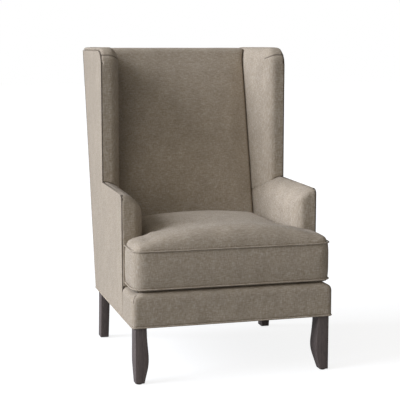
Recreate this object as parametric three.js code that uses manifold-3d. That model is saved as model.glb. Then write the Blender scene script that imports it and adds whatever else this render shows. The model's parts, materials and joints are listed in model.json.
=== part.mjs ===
// High-back upholstered wing chair with a loose T-shaped seat cushion.
// Millimetres, +Z up, the chair faces -Y, origin at floor level under the middle of its outer box.
import * as THREE from "three";
import { mergeVertices } from "three/addons/utils/BufferGeometryUtils.js";
import Module from "manifold-3d";

const wasm = await Module();
wasm.setup();

// Whole chair
const overallWidth = 766;
const overallDepth = 970;
const overallHeight = 1198;
const clearance = 0.3;
const overrun = 20;
const weldGap = 0.001;

// Skins and panels
const coverThickness = 2;
const panelThickness = 12;
const wrapWidth = 2.5;
const topWrapWidth = 10;

// Base
const legHeight = 214;
const baseHeight = 112.5;
const baseFrontCornerRadius = 18;
const baseBackCornerRadius = 10;
const borderPadding = 16;
const borderTopRadius = 20;
const borderLap = 14;
const baseWeltRadius = 2.5;
const weltProud = 2;
const dustClothThickness = 1;
const dustClothMargin = 3;

// Seat frame
const railHeight = 88;
const frontRailThickness = 32;
const sideRailThickness = 28;
const backRailThickness = 32;
const cornerBlockReach = 74;
const cornerBlockHeight = 58;
const cornerBlockRise = 15;

// Back
const backRake = 236;
const backThicknessBase = 148;
const backThicknessTop = 136;
const backCrown = 14;
const backTopRadius = 26;
const postWidth = 45;
const postDepth = 44;
const postTopDrop = 18;
const topRailHeight = 70;
const lowerRailHeight = 60;
const lowerRailRise = 38;
const webbingWidth = 50;
const webbingThickness = 1.6;
const webbingPitchAcross = 170;
const webbingRows = 3;
const webbingLap = 24;

// Arms
const armHeight = 667;
const armRise = 5;
const armSetback = 178;
const armWidthFront = 86;
const armWidthRear = 93;
const armScoopDepth = 97;
const armOuterEdgeRadius = 3;
const armFrontRadius = 24;
const armInnerNoseRadius = 28;
const armOuterNoseRadius = 3;
const armStumpWidth = 36;
const armStumpDepth = 45;
const armStumpCover = 16;
const armRailWidth = 30;
const armRailHeight = 25;
const armRailDrop = 29;

// Wings
const wingReach = 291.5;
const wingWidthFront = 74;
const wingJunctionDepth = 148;
const wingNoseRadius = 34;
const wingOuterNoseRadius = 3;
const wingTopRadius = 60;
const wingInnerTopRadius = 46;
const wingOuterTopRadius = 14;
const wingRearTopRadius = 7;
const wingTuck = 20;
const wingFrameThickness = 32;
const wingFramePostDepth = 40;
const wingFrameRailHeight = 42;
const wingFrameFrontCover = 26;
const wingFrameTopCover = 38;
const wingFrameInnerRadius = 30;
const wingFrameFrontRadius = 15;

// Seat springs and deck
const springWireRadius = 1.9;
const springRows = 5;
const springSideGap = 32;
const springHalfWidth = 26;
const springWave = 54;
const springOverhang = 6;
const springEndInset = 16;
const springEndLength = 12;
const springStepsPerWave = 6;

// Seat cushion
const cushionFrontInset = 2.5;
const cushionSideInset = 6;
const cushionRearGap = 10;
const cushionHeight = 157.5;
const cushionBottomDepth = 20.5;
const cushionShoulder = 10;
const cushionDome = 58;
const cushionDomeHalfWidth = 400;
const cushionBulge = 3;
const cushionBow = 0.3;
const cushionBottomRound = 24;
const cushionFrontRadius = 40;
const cushionEarRadius = 20;
const cushionInnerRadius = 12;
const cushionRearRadius = 25;
const cushionWeltRadius = 2.6;
const cushionCoverThickness = 1.5;
const cushionPadClearance = 0.5;
const cushionWeltClearance = 0.5;

// Zip at the rear of the cushion
const zipEndGap = 49;
const zipTapeHeight = 13.4;
const zipTapeThickness = 1.1;
const zipCoilHeight = 4;
const zipCoilProud = 1.5;
const sliderLength = 12;
const sliderHeight = 10;
const sliderThickness = 3.6;
const sliderTabLength = 16;
const sliderTabWidth = 6;
const sliderTabThickness = 1.4;

// Legs
const legInset = 12;
const frontLegSetback = 8;
const frontLegWidth = 49;
const frontLegDepth = 65;
const backLegSetback = 16;
const backLegWidth = 36;
const backLegDepth = 54;
const backLegRake = 26;
const legEdgeRadius = 3;
const glideRadius = 11;
const glideHeight = 4;
const glideChamfer = 1;
const glideNailRadius = 1.5;
const glideNailLength = 15;
const studRadius = 4;
const studLength = 80;

// Shares of height, width, depth and backward lean down each leg
const frontLegShares = [
  [1, 0.857, 0.923],
  [0.78, 0.888, 0.945],
  [0.61, 0.949, 0.969],
  [0.46, 1, 1],
  [0.35, 0.99, 0.985],
  [0.26, 0.939, 0.893],
  [0.16, 0.837, 0.769],
  [0, 0.673, 0.554],
];
const backLegShares = [
  [1, 1, 1, 0],
  [0.66, 0.99, 0.98, 0.24],
  [0.33, 0.97, 0.94, 0.58],
  [0, 0.95, 0.89, 1],
];
// Shares of the cushion's lower rounding: height from its bottom, and inset
const bottomRoundShares = [
  [0, 1],
  [0.22, 0.38],
  [0.6, 0.04],
];
// Shares of the plan at which the crown's rings lie, and the power that rounds its edge
const crownRingShares = [0.985, 0.95, 0.88, 0.7, 0.4, 0.1];
const crownPower = 8;
// Share of a long wall's bow at the quarter of its length
const quarterBowShare = 0.75;
// Shares of the welt's radius taken by the groove that it lies in, and of the wall by the bulge's ends
const grooveWidthShare = 1.3;
const grooveDepthShare = 1.15;
const bulgeEndShare = 0.2;
// Longest share of a wall that the rounding of its corner may take
const roundingShare = 0.45;
// Crown of the inside back: shares of its half width, and powers along its height and towards its sides
const backStationShares = [-1, -0.93, -0.8, -0.55, 0, 0.55, 0.8, 0.93, 1];
const backCrownEdgeShare = 0.02;
const backCrownRisePower = 0.7;
const backCrownSidePower = 4;
const backFrontRows = 8;
// Steps that draw the roundings
const cornerSteps = 4;
const noseSteps = 5;
const scoopSteps = 8;
const cushionFrontSteps = 3;
const cushionCornerSteps = 2;

// Planes and levels that the pieces share
const sideX = overallWidth / 2 - weltProud;
const frontY = weltProud - overallDepth / 2;
const backTopY = overallDepth / 2;
const baseBottom = legHeight + clearance;
const baseTop = baseBottom + baseHeight;
const railTop = baseBottom + railHeight;
const frameX = sideX - panelThickness - clearance;
const postInnerX = frameX - postWidth;
const sideRailInnerX = frameX - sideRailThickness;
const frontRailY = frontY + borderPadding;
const frontRailBackY = frontRailY + frontRailThickness;
const borderBackY = frontRailY + borderLap;
const postTop = overallHeight - postTopDrop;
const panelTop = overallHeight - topWrapWidth;
const armFrontY = frontY + armSetback;
const springZ = railTop + clearance + springWireRadius;
const deckBottom = springZ + springWireRadius + clearance;

const outerBackY = (z) => backTopY - (backRake * (overallHeight - z)) / (overallHeight - baseBottom);
const backThickness = (z) =>
  backThicknessTop + ((backThicknessBase - backThicknessTop) * (overallHeight - z)) / (overallHeight - baseTop);
const innerBackY = (z) => outerBackY(z) - backThickness(z);
const postRearY = (z) => outerBackY(z) - panelThickness - clearance;
const postFrontY = (z) => postRearY(z) - postDepth;
const webbingFrontY = (z) => postFrontY(z) - clearance - webbingThickness;
const foamRearY = (z) => webbingFrontY(z) - clearance;
const wingFrontY = outerBackY(armHeight + armRise) - wingReach;
const wingJunctionY = wingFrontY + wingJunctionDepth;
const armShare = (y) => Math.min(1, Math.max(0, (y - armFrontY) / (wingJunctionY - armFrontY)));
const armInnerX = (y) => sideX - armWidthFront - (armWidthRear - armWidthFront) * armShare(y);
const armTopZ = (y) => armHeight + armRise * Math.min(1, (y - armFrontY) / (wingFrontY - armFrontY));
const wingInnerX = (y) => {
  const share = Math.min(1, Math.max(0, (y - wingFrontY) / wingJunctionDepth));
  return sideX - wingWidthFront - (armWidthRear - wingWidthFront) * share;
};
const wingBottom = armTopZ(wingFrontY) - armScoopDepth + wingTuck;
const armRailTop = armHeight - armRailDrop;
const armRailBottom = armRailTop - armRailHeight;
const springSpan = armInnerX(backTopY) - springSideGap - springHalfWidth;
const springPitch = (2 * springSpan) / (springRows - 1);

// Finishes
const fabric = { color: 0x8f8372, roughness: 0.95, metalness: 0 };
const darkStain = { color: 0x4f4843, roughness: 0.55, metalness: 0 };
const frameWood = { color: 0xb48a5c, roughness: 0.8, metalness: 0 };
const foam = { color: 0xe6dcb8, roughness: 0.95, metalness: 0 };
const steel = { color: 0x7f8388, roughness: 0.4, metalness: 1 };
const webbing = { color: 0x2f2b28, roughness: 0.9, metalness: 0 };
const darkPlastic = { color: 0x1d1b1a, roughness: 0.6, metalness: 0 };

// Closed outline with rounded corners. Corners are [u, v, radius, steps], counter-clockwise, and a
// positive inset moves every wall inwards.
function outline(corners, inset = 0, arcSteps = cornerSteps) {
  const count = corners.length;
  const spans = corners.map(([u, v], i) => {
    const [nextU, nextV] = corners[(i + 1) % count];
    return new THREE.Vector2(nextU - u, nextV - v);
  });
  const points = [];
  corners.forEach(([u, v, radius = 0, steps = arcSteps], i) => {
    const spanBefore = spans[(i + count - 1) % count];
    const before = spanBefore.clone().normalize();
    const after = spans[i].clone().normalize();
    const straight = before.dot(after);
    const shift = inset / (1 + straight);
    const corner = new THREE.Vector2(u - shift * (before.y + after.y), v + shift * (before.x + after.x));
    if (radius === 0) {
      points.push(corner);
      return;
    }
    const side = Math.sign(before.cross(after));
    const turn = Math.acos(Math.min(1, Math.max(-1, straight)));
    const wanted = Math.max(radius - side * inset, coverThickness / 2) * Math.tan(turn / 2);
    const tangent = Math.min(wanted, roundingShare * spanBefore.length(), roundingShare * spans[i].length());
    const arcRadius = tangent / Math.tan(turn / 2);
    const start = corner.clone().addScaledVector(before, -tangent);
    const centre = start.clone().add(new THREE.Vector2(-before.y, before.x).multiplyScalar(side * arcRadius));
    for (let step = 0; step <= steps; step++) {
      points.push(start.clone().rotateAround(centre, (side * turn * step) / steps));
    }
  });
  return points;
}

// Prism of an outline along an axis: an x prism reads it as (y, z), a y prism as (x, z).
function prism(points, axis, from, to) {
  const settings = { depth: to - from, bevelEnabled: false };
  const geometry = new THREE.ExtrudeGeometry(new THREE.Shape(points), settings);
  const [unitX, unitY, unitZ] = [0, 1, 2].map((i) => new THREE.Vector3().setComponent(i, 1));
  const place = new THREE.Matrix4();
  if (axis === "x") place.makeBasis(unitY, unitZ, unitX).setPosition(from, 0, 0);
  if (axis === "y") place.makeBasis(unitX, unitZ, unitY.negate()).setPosition(0, to, 0);
  if (axis === "z") place.makeTranslation(0, 0, from);
  return geometry.applyMatrix4(place);
}

function box(x0, x1, y0, y1, z0, z1) {
  const geometry = new THREE.BoxGeometry(x1 - x0, y1 - y0, z1 - z0);
  return geometry.translate((x0 + x1) / 2, (y0 + y1) / 2, (z0 + z1) / 2);
}

function cylinder(x, y, z0, z1, radius, sides = 12) {
  const geometry = new THREE.CylinderGeometry(radius, radius, z1 - z0, sides);
  return geometry.rotateX(Math.PI / 2).translate(x, y, (z0 + z1) / 2);
}

// The ring's plane, told by the axis that its area vector follows most
function flatten(ring) {
  const area = new THREE.Vector3();
  ring.forEach((point, i) => area.add(point.clone().cross(ring[(i + 1) % ring.length])));
  const size = area.toArray().map(Math.abs);
  const drop = size.indexOf(Math.max(...size));
  const keep = [0, 1, 2].filter((axis) => axis !== drop);
  return ring.map((point) => new THREE.Vector2(point.getComponent(keep[0]), point.getComponent(keep[1])));
}

function capFaces(ring, first, facing) {
  const flat = flatten(ring);
  const wanted = Math.sign(THREE.ShapeUtils.area(flat)) * facing;
  return THREE.ShapeUtils.triangulateShape(flat, []).map(([a, b, c]) => {
    const turn = Math.sign(THREE.ShapeUtils.area([flat[a], flat[b], flat[c]]));
    return turn === wanted ? [first + a, first + b, first + c] : [first + a, first + c, first + b];
  });
}

// Skin through rings of equal count, capped at both ends unless it closes on itself
function loft(rings, closed = false) {
  const count = rings[0].length;
  const faces = [];
  for (let level = 0; level < (closed ? rings.length : rings.length - 1); level++) {
    const low = level * count;
    const high = ((level + 1) % rings.length) * count;
    for (let i = 0; i < count; i++) {
      const next = (i + 1) % count;
      faces.push([low + i, low + next, high + next], [low + i, high + next, high + i]);
    }
  }
  if (!closed) {
    faces.push(...capFaces(rings[0], 0, -1));
    faces.push(...capFaces(rings[rings.length - 1], (rings.length - 1) * count, 1));
  }
  const points = rings.flat();
  const volume = faces.reduce((sum, [a, b, c]) => sum + points[a].dot(points[b].clone().cross(points[c])), 0);
  const outward = volume > 0 ? faces : faces.map(([a, b, c]) => [a, c, b]);
  const geometry = new THREE.BufferGeometry().setFromPoints(points);
  return geometry.setIndex(outward.flat());
}

// Round cord or wire whose path keeps near one level
function cord(path, radius, sides, closed) {
  const last = path.length - 1;
  const rings = path.map((point, i) => {
    const previous = path[i > 0 ? i - 1 : closed ? last : 0];
    const next = path[i < last ? i + 1 : closed ? 0 : last];
    const along = next.clone().sub(point).normalize().add(point.clone().sub(previous).normalize());
    const across = new THREE.Vector3(along.y, -along.x, 0).normalize();
    return Array.from({ length: sides }, (_, k) => {
      const angle = (2 * Math.PI * k) / sides;
      const lifted = point.clone().addScaledVector(across, radius * Math.cos(angle));
      return lifted.setZ(lifted.z + radius * Math.sin(angle));
    });
  });
  return loft(rings, closed);
}

function solid(geometry) {
  const bare = new THREE.BufferGeometry();
  bare.setAttribute("position", geometry.getAttribute("position"));
  bare.setIndex(geometry.index);
  const merged = mergeVertices(bare, weldGap);
  const corners = merged.index.array;
  const kept = [];
  for (let i = 0; i < corners.length; i += 3) {
    const [a, b, c] = corners.slice(i, i + 3);
    if (a !== b && b !== c && c !== a) kept.push(a, b, c);
  }
  const vertProperties = Float32Array.from(merged.getAttribute("position").array);
  const mesh = new wasm.Mesh({ numProp: 3, vertProperties, triVerts: Uint32Array.from(kept) });
  return new wasm.Manifold(mesh);
}

function geometryOf(form) {
  const mesh = form.getMesh();
  const geometry = new THREE.BufferGeometry();
  geometry.setAttribute("position", new THREE.BufferAttribute(Float32Array.from(mesh.vertProperties), 3));
  return geometry.setIndex(Array.from(mesh.triVerts));
}

const asSolid = (form) => (form instanceof THREE.BufferGeometry ? solid(form) : form);
const cut = (form, ...tools) => tools.reduce((rest, tool) => rest.subtract(asSolid(tool)), asSolid(form));
const join = (form, ...others) => others.reduce((sum, other) => sum.add(asSolid(other)), asSolid(form));
const overlap = (form, ...others) => others.reduce((sum, other) => sum.intersect(asSolid(other)), asSolid(form));

// The chair is symmetrical: a pair is modelled on the right, and its left one is mirrored.
const chair = new THREE.Group();
function place(name, form, finish, parent = chair) {
  const geometry = form instanceof THREE.BufferGeometry ? form : geometryOf(form);
  geometry.computeVertexNormals();
  const mesh = new THREE.Mesh(geometry, new THREE.MeshStandardMaterial(finish));
  mesh.name = name;
  parent.add(mesh);
  return mesh;
}
function placePair(name, form, finish) {
  place(`${name}_right`, form, finish);
  place(`${name}_left`, form, finish).scale.x = -1;
}

// Side view prism between two heights, from a front line to a rear line that both lean with the back
function leaningPrism(frontLine, rearLine, low, high, fromX, toX) {
  const corners = [
    [frontLine(low), low],
    [rearLine(low), low],
    [rearLine(high), high],
    [frontLine(high), high],
  ];
  return prism(outline(corners), "x", fromX, toX);
}

// Legs: a plan of rounded corners lofted down through the shares of each leg
function legRing(outerX, width, frontEdgeY, rearEdgeY, z) {
  const corners = [
    [outerX - width, frontEdgeY, legEdgeRadius],
    [outerX, frontEdgeY, legEdgeRadius],
    [outerX, rearEdgeY, legEdgeRadius],
    [outerX - width, rearEdgeY, legEdgeRadius],
  ];
  return outline(corners, 0, 2).map((point) => new THREE.Vector3(point.x, point.y, z));
}
const legOuterX = sideX - legInset;
const legFoot = glideHeight + clearance;
const legLevel = (share) => legFoot + (legHeight - legFoot) * share;
const frontLegY = frontY + frontLegSetback;
const backLegRearY = outerBackY(baseBottom) - backLegSetback;
const frontFootX = legOuterX - (frontLegWidth * frontLegShares.at(-1)[1]) / 2;
const frontFootY = frontLegY + (frontLegDepth * frontLegShares.at(-1)[2]) / 2;
const backFootX = legOuterX - (backLegWidth * backLegShares.at(-1)[1]) / 2;
const backFootY = backLegRearY + backLegRake - (backLegDepth * backLegShares.at(-1)[2]) / 2;
const frontStudX = legOuterX - (frontLegWidth * frontLegShares[0][1]) / 2;
const frontStudY = (frontRailY + frontRailBackY) / 2;
const backStudX = legOuterX - backLegWidth / 2;
const backStudY = (postRearY(legHeight) + postFrontY(legHeight)) / 2;

function frontLeg() {
  const rings = frontLegShares.map(([height, width, depth]) => {
    const rearEdge = frontLegY + frontLegDepth * depth;
    return legRing(legOuterX, frontLegWidth * width, frontLegY, rearEdge, legLevel(height));
  });
  return drilled(loft(rings), frontFootX, frontFootY, frontStudX, frontStudY);
}

function backLeg() {
  const rings = backLegShares.map(([height, width, depth, lean]) => {
    const rearEdge = backLegRearY + backLegRake * lean;
    return legRing(legOuterX, backLegWidth * width, rearEdge - backLegDepth * depth, rearEdge, legLevel(height));
  });
  return drilled(loft(rings), backFootX, backFootY, backStudX, backStudY);
}

function drilled(leg, footX, footY, studX, studY) {
  const nailHole = cylinder(footX, footY, 0, legFoot + glideNailLength, glideNailRadius + clearance);
  return cut(leg, nailHole, studHole(studX, studY));
}

function studHole(x, y) {
  const middle = legHeight + clearance / 2;
  const reach = studLength / 2 + clearance;
  return cylinder(x, y, middle - reach, middle + reach, studRadius + clearance);
}

function legStud(x, y) {
  const middle = legHeight + clearance / 2;
  return cylinder(x, y, middle - studLength / 2, middle + studLength / 2, studRadius);
}

function glide(x, y) {
  const profile = [
    [0, 0],
    [glideRadius - glideChamfer, 0],
    [glideRadius, glideChamfer],
    [glideRadius, glideHeight / 2],
    [glideRadius - glideHeight / 2, glideHeight],
    [glideNailRadius, glideHeight],
    [glideNailRadius, glideHeight + glideNailLength],
    [0, glideHeight + glideNailLength],
  ];
  const points = profile.map(([radius, height]) => new THREE.Vector2(radius, height));
  return solid(new THREE.LatheGeometry(points, 16).rotateX(Math.PI / 2).translate(x, y, 0));
}

placePair("front_leg", frontLeg(), darkStain);
placePair("back_leg", backLeg(), darkStain);
placePair("front_leg_stud", legStud(frontStudX, frontStudY), steel);
placePair("back_leg_stud", legStud(backStudX, backStudY), steel);
placePair("front_glide", glide(frontFootX, frontFootY), darkPlastic);
placePair("back_glide", glide(backFootX, backFootY), darkPlastic);

// Seat frame: rails butt against each other and the back posts, and blocks brace the corners
const mirrorX = (geometry) => {
  const index = Array.from(geometry.index.array).reverse();
  return geometry.clone().scale(-1, 1, 1).setIndex(index);
};

function frontRail() {
  const hole = studHole(frontStudX, frontStudY);
  const rail = box(-frameX, frameX, frontRailY, frontRailBackY, baseBottom, railTop);
  return cut(rail, hole, mirrorX(hole));
}

function backPost(grow = 0) {
  const front = (z) => postFrontY(z) - grow;
  const rear = (z) => postRearY(z) + grow;
  return leaningPrism(front, rear, baseBottom - grow, postTop + grow, postInnerX - grow, frameX + grow);
}

// Cross rail between the posts, flush with their front faces
function crossRail(low, high, grow = 0) {
  const reach = postInnerX - clearance + grow;
  const front = (z) => postFrontY(z) - grow;
  const rear = (z) => postFrontY(z) + backRailThickness + grow;
  return leaningPrism(front, rear, low - grow, high + grow, -reach, reach);
}

function sideRail() {
  const front = () => frontRailBackY + clearance;
  const rear = (z) => postFrontY(z) - clearance;
  return leaningPrism(front, rear, baseBottom, railTop, sideRailInnerX, frameX);
}

const blockBottom = baseBottom + cornerBlockRise;
const blockTop = blockBottom + cornerBlockHeight;

function frontCornerBlock() {
  const cornerX = sideRailInnerX - clearance;
  const cornerY = frontRailBackY + clearance;
  const corners = [
    [cornerX - cornerBlockReach, cornerY],
    [cornerX, cornerY],
    [cornerX, cornerY + cornerBlockReach],
  ];
  return prism(outline(corners), "z", blockBottom, blockTop);
}

function backCornerBlock() {
  const cornerX = sideRailInnerX - clearance;
  const postX = postInnerX - clearance;
  const rings = [blockBottom, blockTop].map((z) => {
    const rearY = postFrontY(z) - clearance;
    const corners = [
      [cornerX, rearY],
      [postX - cornerBlockReach, rearY],
      [cornerX, rearY - cornerBlockReach],
    ];
    return outline(corners).map((point) => new THREE.Vector3(point.x, point.y, z));
  });
  return loft(rings);
}

place("front_seat_rail", frontRail(), frameWood);
place("back_seat_rail", crossRail(baseBottom, railTop), frameWood);
placePair("side_seat_rail", sideRail(), frameWood);
placePair("corner_block_front", frontCornerBlock(), frameWood);
placePair("corner_block_back", backCornerBlock(), frameWood);

// Upright frame: posts, cross rails, arm stumps and rails, and an L-shaped frame in each wing
const topRailBottom = postTop - topRailHeight;
const lowerRailBottom = railTop + lowerRailRise;
const stumpFrontY = armFrontY + armStumpCover;

function armStump(grow = 0) {
  const inner = frameX - armStumpWidth - grow;
  const rearY = stumpFrontY + armStumpDepth + grow;
  const low = railTop + clearance - grow;
  return box(inner, frameX + grow, stumpFrontY - grow, rearY, low, armRailBottom - clearance + grow);
}

function armRail(grow = 0) {
  const front = () => stumpFrontY - grow;
  const rear = (z) => postFrontY(z) - clearance + grow;
  const inner = frameX - armRailWidth - grow;
  return leaningPrism(front, rear, armRailBottom - grow, armRailTop + grow, inner, frameX + grow);
}

function wingFrame(grow = 0) {
  const low = armRailTop + clearance;
  const high = overallHeight - wingFrameTopCover;
  const railBottom = high - wingFrameRailHeight;
  const front = wingFrontY + wingFrameFrontCover;
  const postBack = front + wingFramePostDepth;
  const rear = (z) => postFrontY(z) - clearance;
  const corners = [
    [front, low],
    [postBack, low],
    [postBack, railBottom, wingFrameInnerRadius],
    [rear(railBottom), railBottom],
    [rear(high), high],
    [front, high, wingFrameFrontRadius],
  ];
  return prism(outline(corners, -grow), "x", frameX - wingFrameThickness - grow, frameX + grow);
}

function backPostDrilled() {
  return cut(backPost(), studHole(backStudX, backStudY));
}

placePair("back_post", backPostDrilled(), frameWood);
place("top_back_rail", crossRail(topRailBottom, postTop), frameWood);
place("lower_back_rail", crossRail(lowerRailBottom, lowerRailBottom + lowerRailHeight), frameWood);
placePair("arm_stump", armStump(), frameWood);
placePair("arm_rail", armRail(), frameWood);
placePair("wing_frame", wingFrame(), frameWood);

// Outside panels close the sides and the back; a narrow band of the covers shows round their edges
function sidePanel(grow = 0) {
  const armEdgeY = armFrontY + wrapWidth;
  const wingEdgeY = wingFrontY + wrapWidth;
  const corners = [
    [armFrontY, baseBottom],
    [postRearY(baseBottom), baseBottom],
    [postRearY(panelTop), panelTop],
    [wingEdgeY, panelTop, wingTopRadius - wrapWidth],
    [wingEdgeY, armTopZ(wingFrontY) - wrapWidth],
    [armEdgeY, armTopZ(armFrontY) - wrapWidth, armFrontRadius - wrapWidth],
    [armEdgeY, baseTop],
    [armFrontY, baseTop],
  ];
  return prism(outline(corners, -grow), "x", frameX + clearance - grow, sideX + (grow > 0 ? overrun : 0));
}

function backPanel(grow = 0) {
  const rings = [baseBottom - grow, panelTop + grow].map((z) => {
    const rearY = outerBackY(z);
    const corners = [
      [-sideX, rearY - panelThickness],
      [sideX, rearY - panelThickness],
      [sideX, rearY, baseBackCornerRadius],
      [-sideX, rearY, baseBackCornerRadius],
    ];
    return outline(corners, -grow).map((point) => new THREE.Vector3(point.x, point.y, z));
  });
  return loft(rings);
}

placePair("outside_panel", sidePanel(), fabric);
place("outside_back_panel", backPanel(), fabric);

// Space behind the padding, where the posts and cross rails stand
function frameSpace() {
  const top = postTop + clearance;
  const low = baseBottom - overrun;
  const far = (z) => outerBackY(z) + overrun;
  return leaningPrism(foamRearY, far, low, top, 0, sideX + overrun);
}

// Space in front of a leaning rear limit, out to a side limit
function withinShell(rearLimit, sideLimit) {
  const front = () => frontY - overrun;
  return leaningPrism(front, rearLimit, 0, overallHeight + overrun, 0, sideLimit);
}

// Front-to-back loft with a rounded nose: each section is drawn in as it nears the front
function noseLoft(section, noseY, noseRadius, rearStations, inset) {
  const nose = Array.from({ length: noseSteps + 1 }, (_, k) => {
    const angle = (Math.PI / 2) * (k / noseSteps);
    return { y: noseY + inset + (noseRadius - inset) * (1 - Math.sin(angle)), drawn: 1 - Math.cos(angle) };
  }).reverse();
  const stations = [...nose, ...rearStations.map((y) => ({ y, drawn: 0 }))];
  return loft(stations.map(({ y, drawn }) => section(y, drawn, inset)));
}

// Arms: flat outside, scooped over to the inside, rounded at the front
function armSection(bottom) {
  return (y, drawn, inset) => {
    const inner = armInnerX(y) + inset + drawn * (armInnerNoseRadius - inset);
    const outer = sideX - inset - drawn * (armOuterNoseRadius - inset);
    const top = armTopZ(y) - inset - drawn * (armFrontRadius - inset);
    const edge = armOuterEdgeRadius;
    const scoopWidth = outer - edge - inner;
    const scoopBase = armTopZ(y) - armScoopDepth;
    const points = [
      [inner, bottom],
      [outer, bottom],
      [outer, top - edge],
      [outer - edge * (1 - Math.SQRT1_2), top - edge * (1 - Math.SQRT1_2)],
    ];
    for (let step = 0; step <= scoopSteps; step++) {
      const angle = (Math.PI / 2) * (step / scoopSteps);
      const x = outer - edge - scoopWidth * Math.sin(angle);
      points.push([x, scoopBase + (top - scoopBase) * Math.cos(angle)]);
    }
    return points.map(([x, z]) => new THREE.Vector3(x, y, z));
  };
}

function armBody(inset = 0, bottom = railTop + clearance) {
  const stations = [wingFrontY, wingJunctionY, backTopY];
  return noseLoft(armSection(bottom), armFrontY, armFrontRadius, stations, inset);
}

function armFoam() {
  const padding = overlap(armBody(coverThickness + clearance), withinShell(foamRearY, frameX));
  return cut(padding, armStump(clearance), armRail(clearance), wingFrame(clearance));
}

function armCover() {
  const hollow = overlap(armBody(coverThickness, baseBottom), withinShell(outerBackY, frameX + clearance));
  const shell = cut(overlap(armBody(), withinShell(foamRearY, sideX)), hollow);
  return cut(shell, sidePanel(clearance), wingFrame(clearance));
}

placePair("arm_foam", armFoam(), foam);
placePair("arm_cover", armCover(), fabric);

// Wings: bull-nosed front, rounded top, standing over the arm
function wingSection(bottom) {
  return (y, drawn, inset) => {
    const inner = wingInnerX(y) + drawn * (wingNoseRadius - inset);
    const outer = sideX - drawn * (wingOuterNoseRadius - inset);
    const top = overallHeight - drawn * (wingTopRadius - inset);
    const innerTopRadius = y < innerBackY(overallHeight) ? wingInnerTopRadius : wingRearTopRadius;
    const corners = [
      [inner, bottom],
      [outer, bottom],
      [outer, top, wingOuterTopRadius],
      [inner, top, innerTopRadius],
    ];
    return outline(corners, inset).map((point) => new THREE.Vector3(point.x, y, point.y));
  };
}

function wingBody(inset = 0, bottom = wingBottom) {
  const stations = [wingJunctionY, innerBackY(overallHeight), backTopY + overrun];
  return noseLoft(wingSection(bottom), wingFrontY, wingTopRadius, stations, inset);
}

function wingFoam() {
  const rear = (z) => outerBackY(z) - panelThickness - clearance;
  const padding = overlap(wingBody(coverThickness + clearance), withinShell(rear, frameX));
  return cut(padding, frameSpace(), armBody(-clearance), wingFrame(clearance));
}

function wingCover() {
  const rear = (z) => outerBackY(z) - panelThickness;
  const hollow = overlap(wingBody(coverThickness, wingBottom - overrun), withinShell(rear, frameX + clearance));
  const shell = cut(overlap(wingBody(), withinShell(outerBackY, sideX)), hollow);
  return cut(shell, sidePanel(clearance), backPanel(clearance), frameSpace(), armBody(-clearance));
}

placePair("wing_foam", wingFoam(), foam);
placePair("wing_cover", wingCover(), fabric);

// Inside back: leaning pad between the wings, crowned above the cushion, lapping over the top rail
const backHalfWidth = sideX - armWidthRear - clearance;
const backBottom = deckBottom;
const crownStart = baseTop + cushionHeight + cushionShoulder + cushionDome;

function backCrownAt(x, z) {
  const rise = Math.min(1, Math.max(0, (z - crownStart) / (overallHeight - crownStart)));
  const across = Math.max(backCrownEdgeShare, 1 - (x / backHalfWidth) ** backCrownSidePower);
  return backCrown * across * Math.sin(Math.PI * rise) ** backCrownRisePower;
}

// Only the front and the top are drawn in by the inset: the pad's hidden walls stay where they are given
function backRing(x, inset, bottom, lapZ, padRearY, topRearY) {
  const low = bottom - inset;
  const lap = lapZ - inset;
  const corners = [
    [innerBackY(low), low],
    [padRearY(low) + inset, low],
    [padRearY(lap) + inset, lap],
    [topRearY(lap) + inset, lap],
    [topRearY(overallHeight) + inset, overallHeight],
    [innerBackY(overallHeight), overallHeight, backTopRadius],
  ];
  for (let row = backFrontRows - 1; row >= 0; row--) {
    const z = crownStart + ((overallHeight - backTopRadius - crownStart) * row) / backFrontRows;
    corners.push([innerBackY(z) - backCrownAt(x, z), z]);
  }
  return outline(corners, inset).map((point) => new THREE.Vector3(x, point.x, point.y));
}

function backBody(extraReach, ...shape) {
  const stations = backStationShares.map((share) => share * backHalfWidth);
  const reach = backHalfWidth + extraReach;
  const all = extraReach > 0 ? [-reach, ...stations, reach] : stations;
  return loft(all.map((x) => backRing(x, ...shape)));
}

function backFoam() {
  const inset = coverThickness + clearance;
  return backBody(0, inset, backBottom, postTop + clearance, foamRearY, postRearY);
}

function backCover() {
  const outer = backBody(0, 0, backBottom, postTop + clearance, foamRearY, outerBackY);
  const behindPad = (z) => foamRearY(z) + overrun;
  const shellRearY = (z) => outerBackY(z) - panelThickness;
  const low = backBottom - overrun;
  const hollow = backBody(overrun, coverThickness, low, postTop - overrun, behindPad, shellRearY);
  return cut(outer, hollow, backPanel(clearance));
}

// Webbing tacked to the fronts of the posts and cross rails, woven into one sheet
function backWebbing() {
  const low = lowerRailBottom + lowerRailHeight - webbingLap;
  const high = topRailBottom + webbingLap;
  const reach = postInnerX + webbingLap;
  const slab = leaningPrism(webbingFrontY, (z) => postFrontY(z) - clearance, low, high, -reach, reach);
  const upright = (x) => box(x - webbingWidth / 2, x + webbingWidth / 2, 0, backTopY, low, high);
  const across = (z) => box(-reach, reach, 0, backTopY, z - webbingWidth / 2, z + webbingWidth / 2);
  const straps = [-1, 0, 1].map((place) => upright(place * webbingPitchAcross));
  for (let row = 1; row <= webbingRows; row++) {
    straps.push(across(low + ((high - low) * row) / (webbingRows + 1)));
  }
  return overlap(join(...straps), slab);
}

place("back_foam", backFoam(), foam);
place("back_cover", backCover(), fabric);
place("back_webbing", backWebbing(), webbing);

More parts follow.
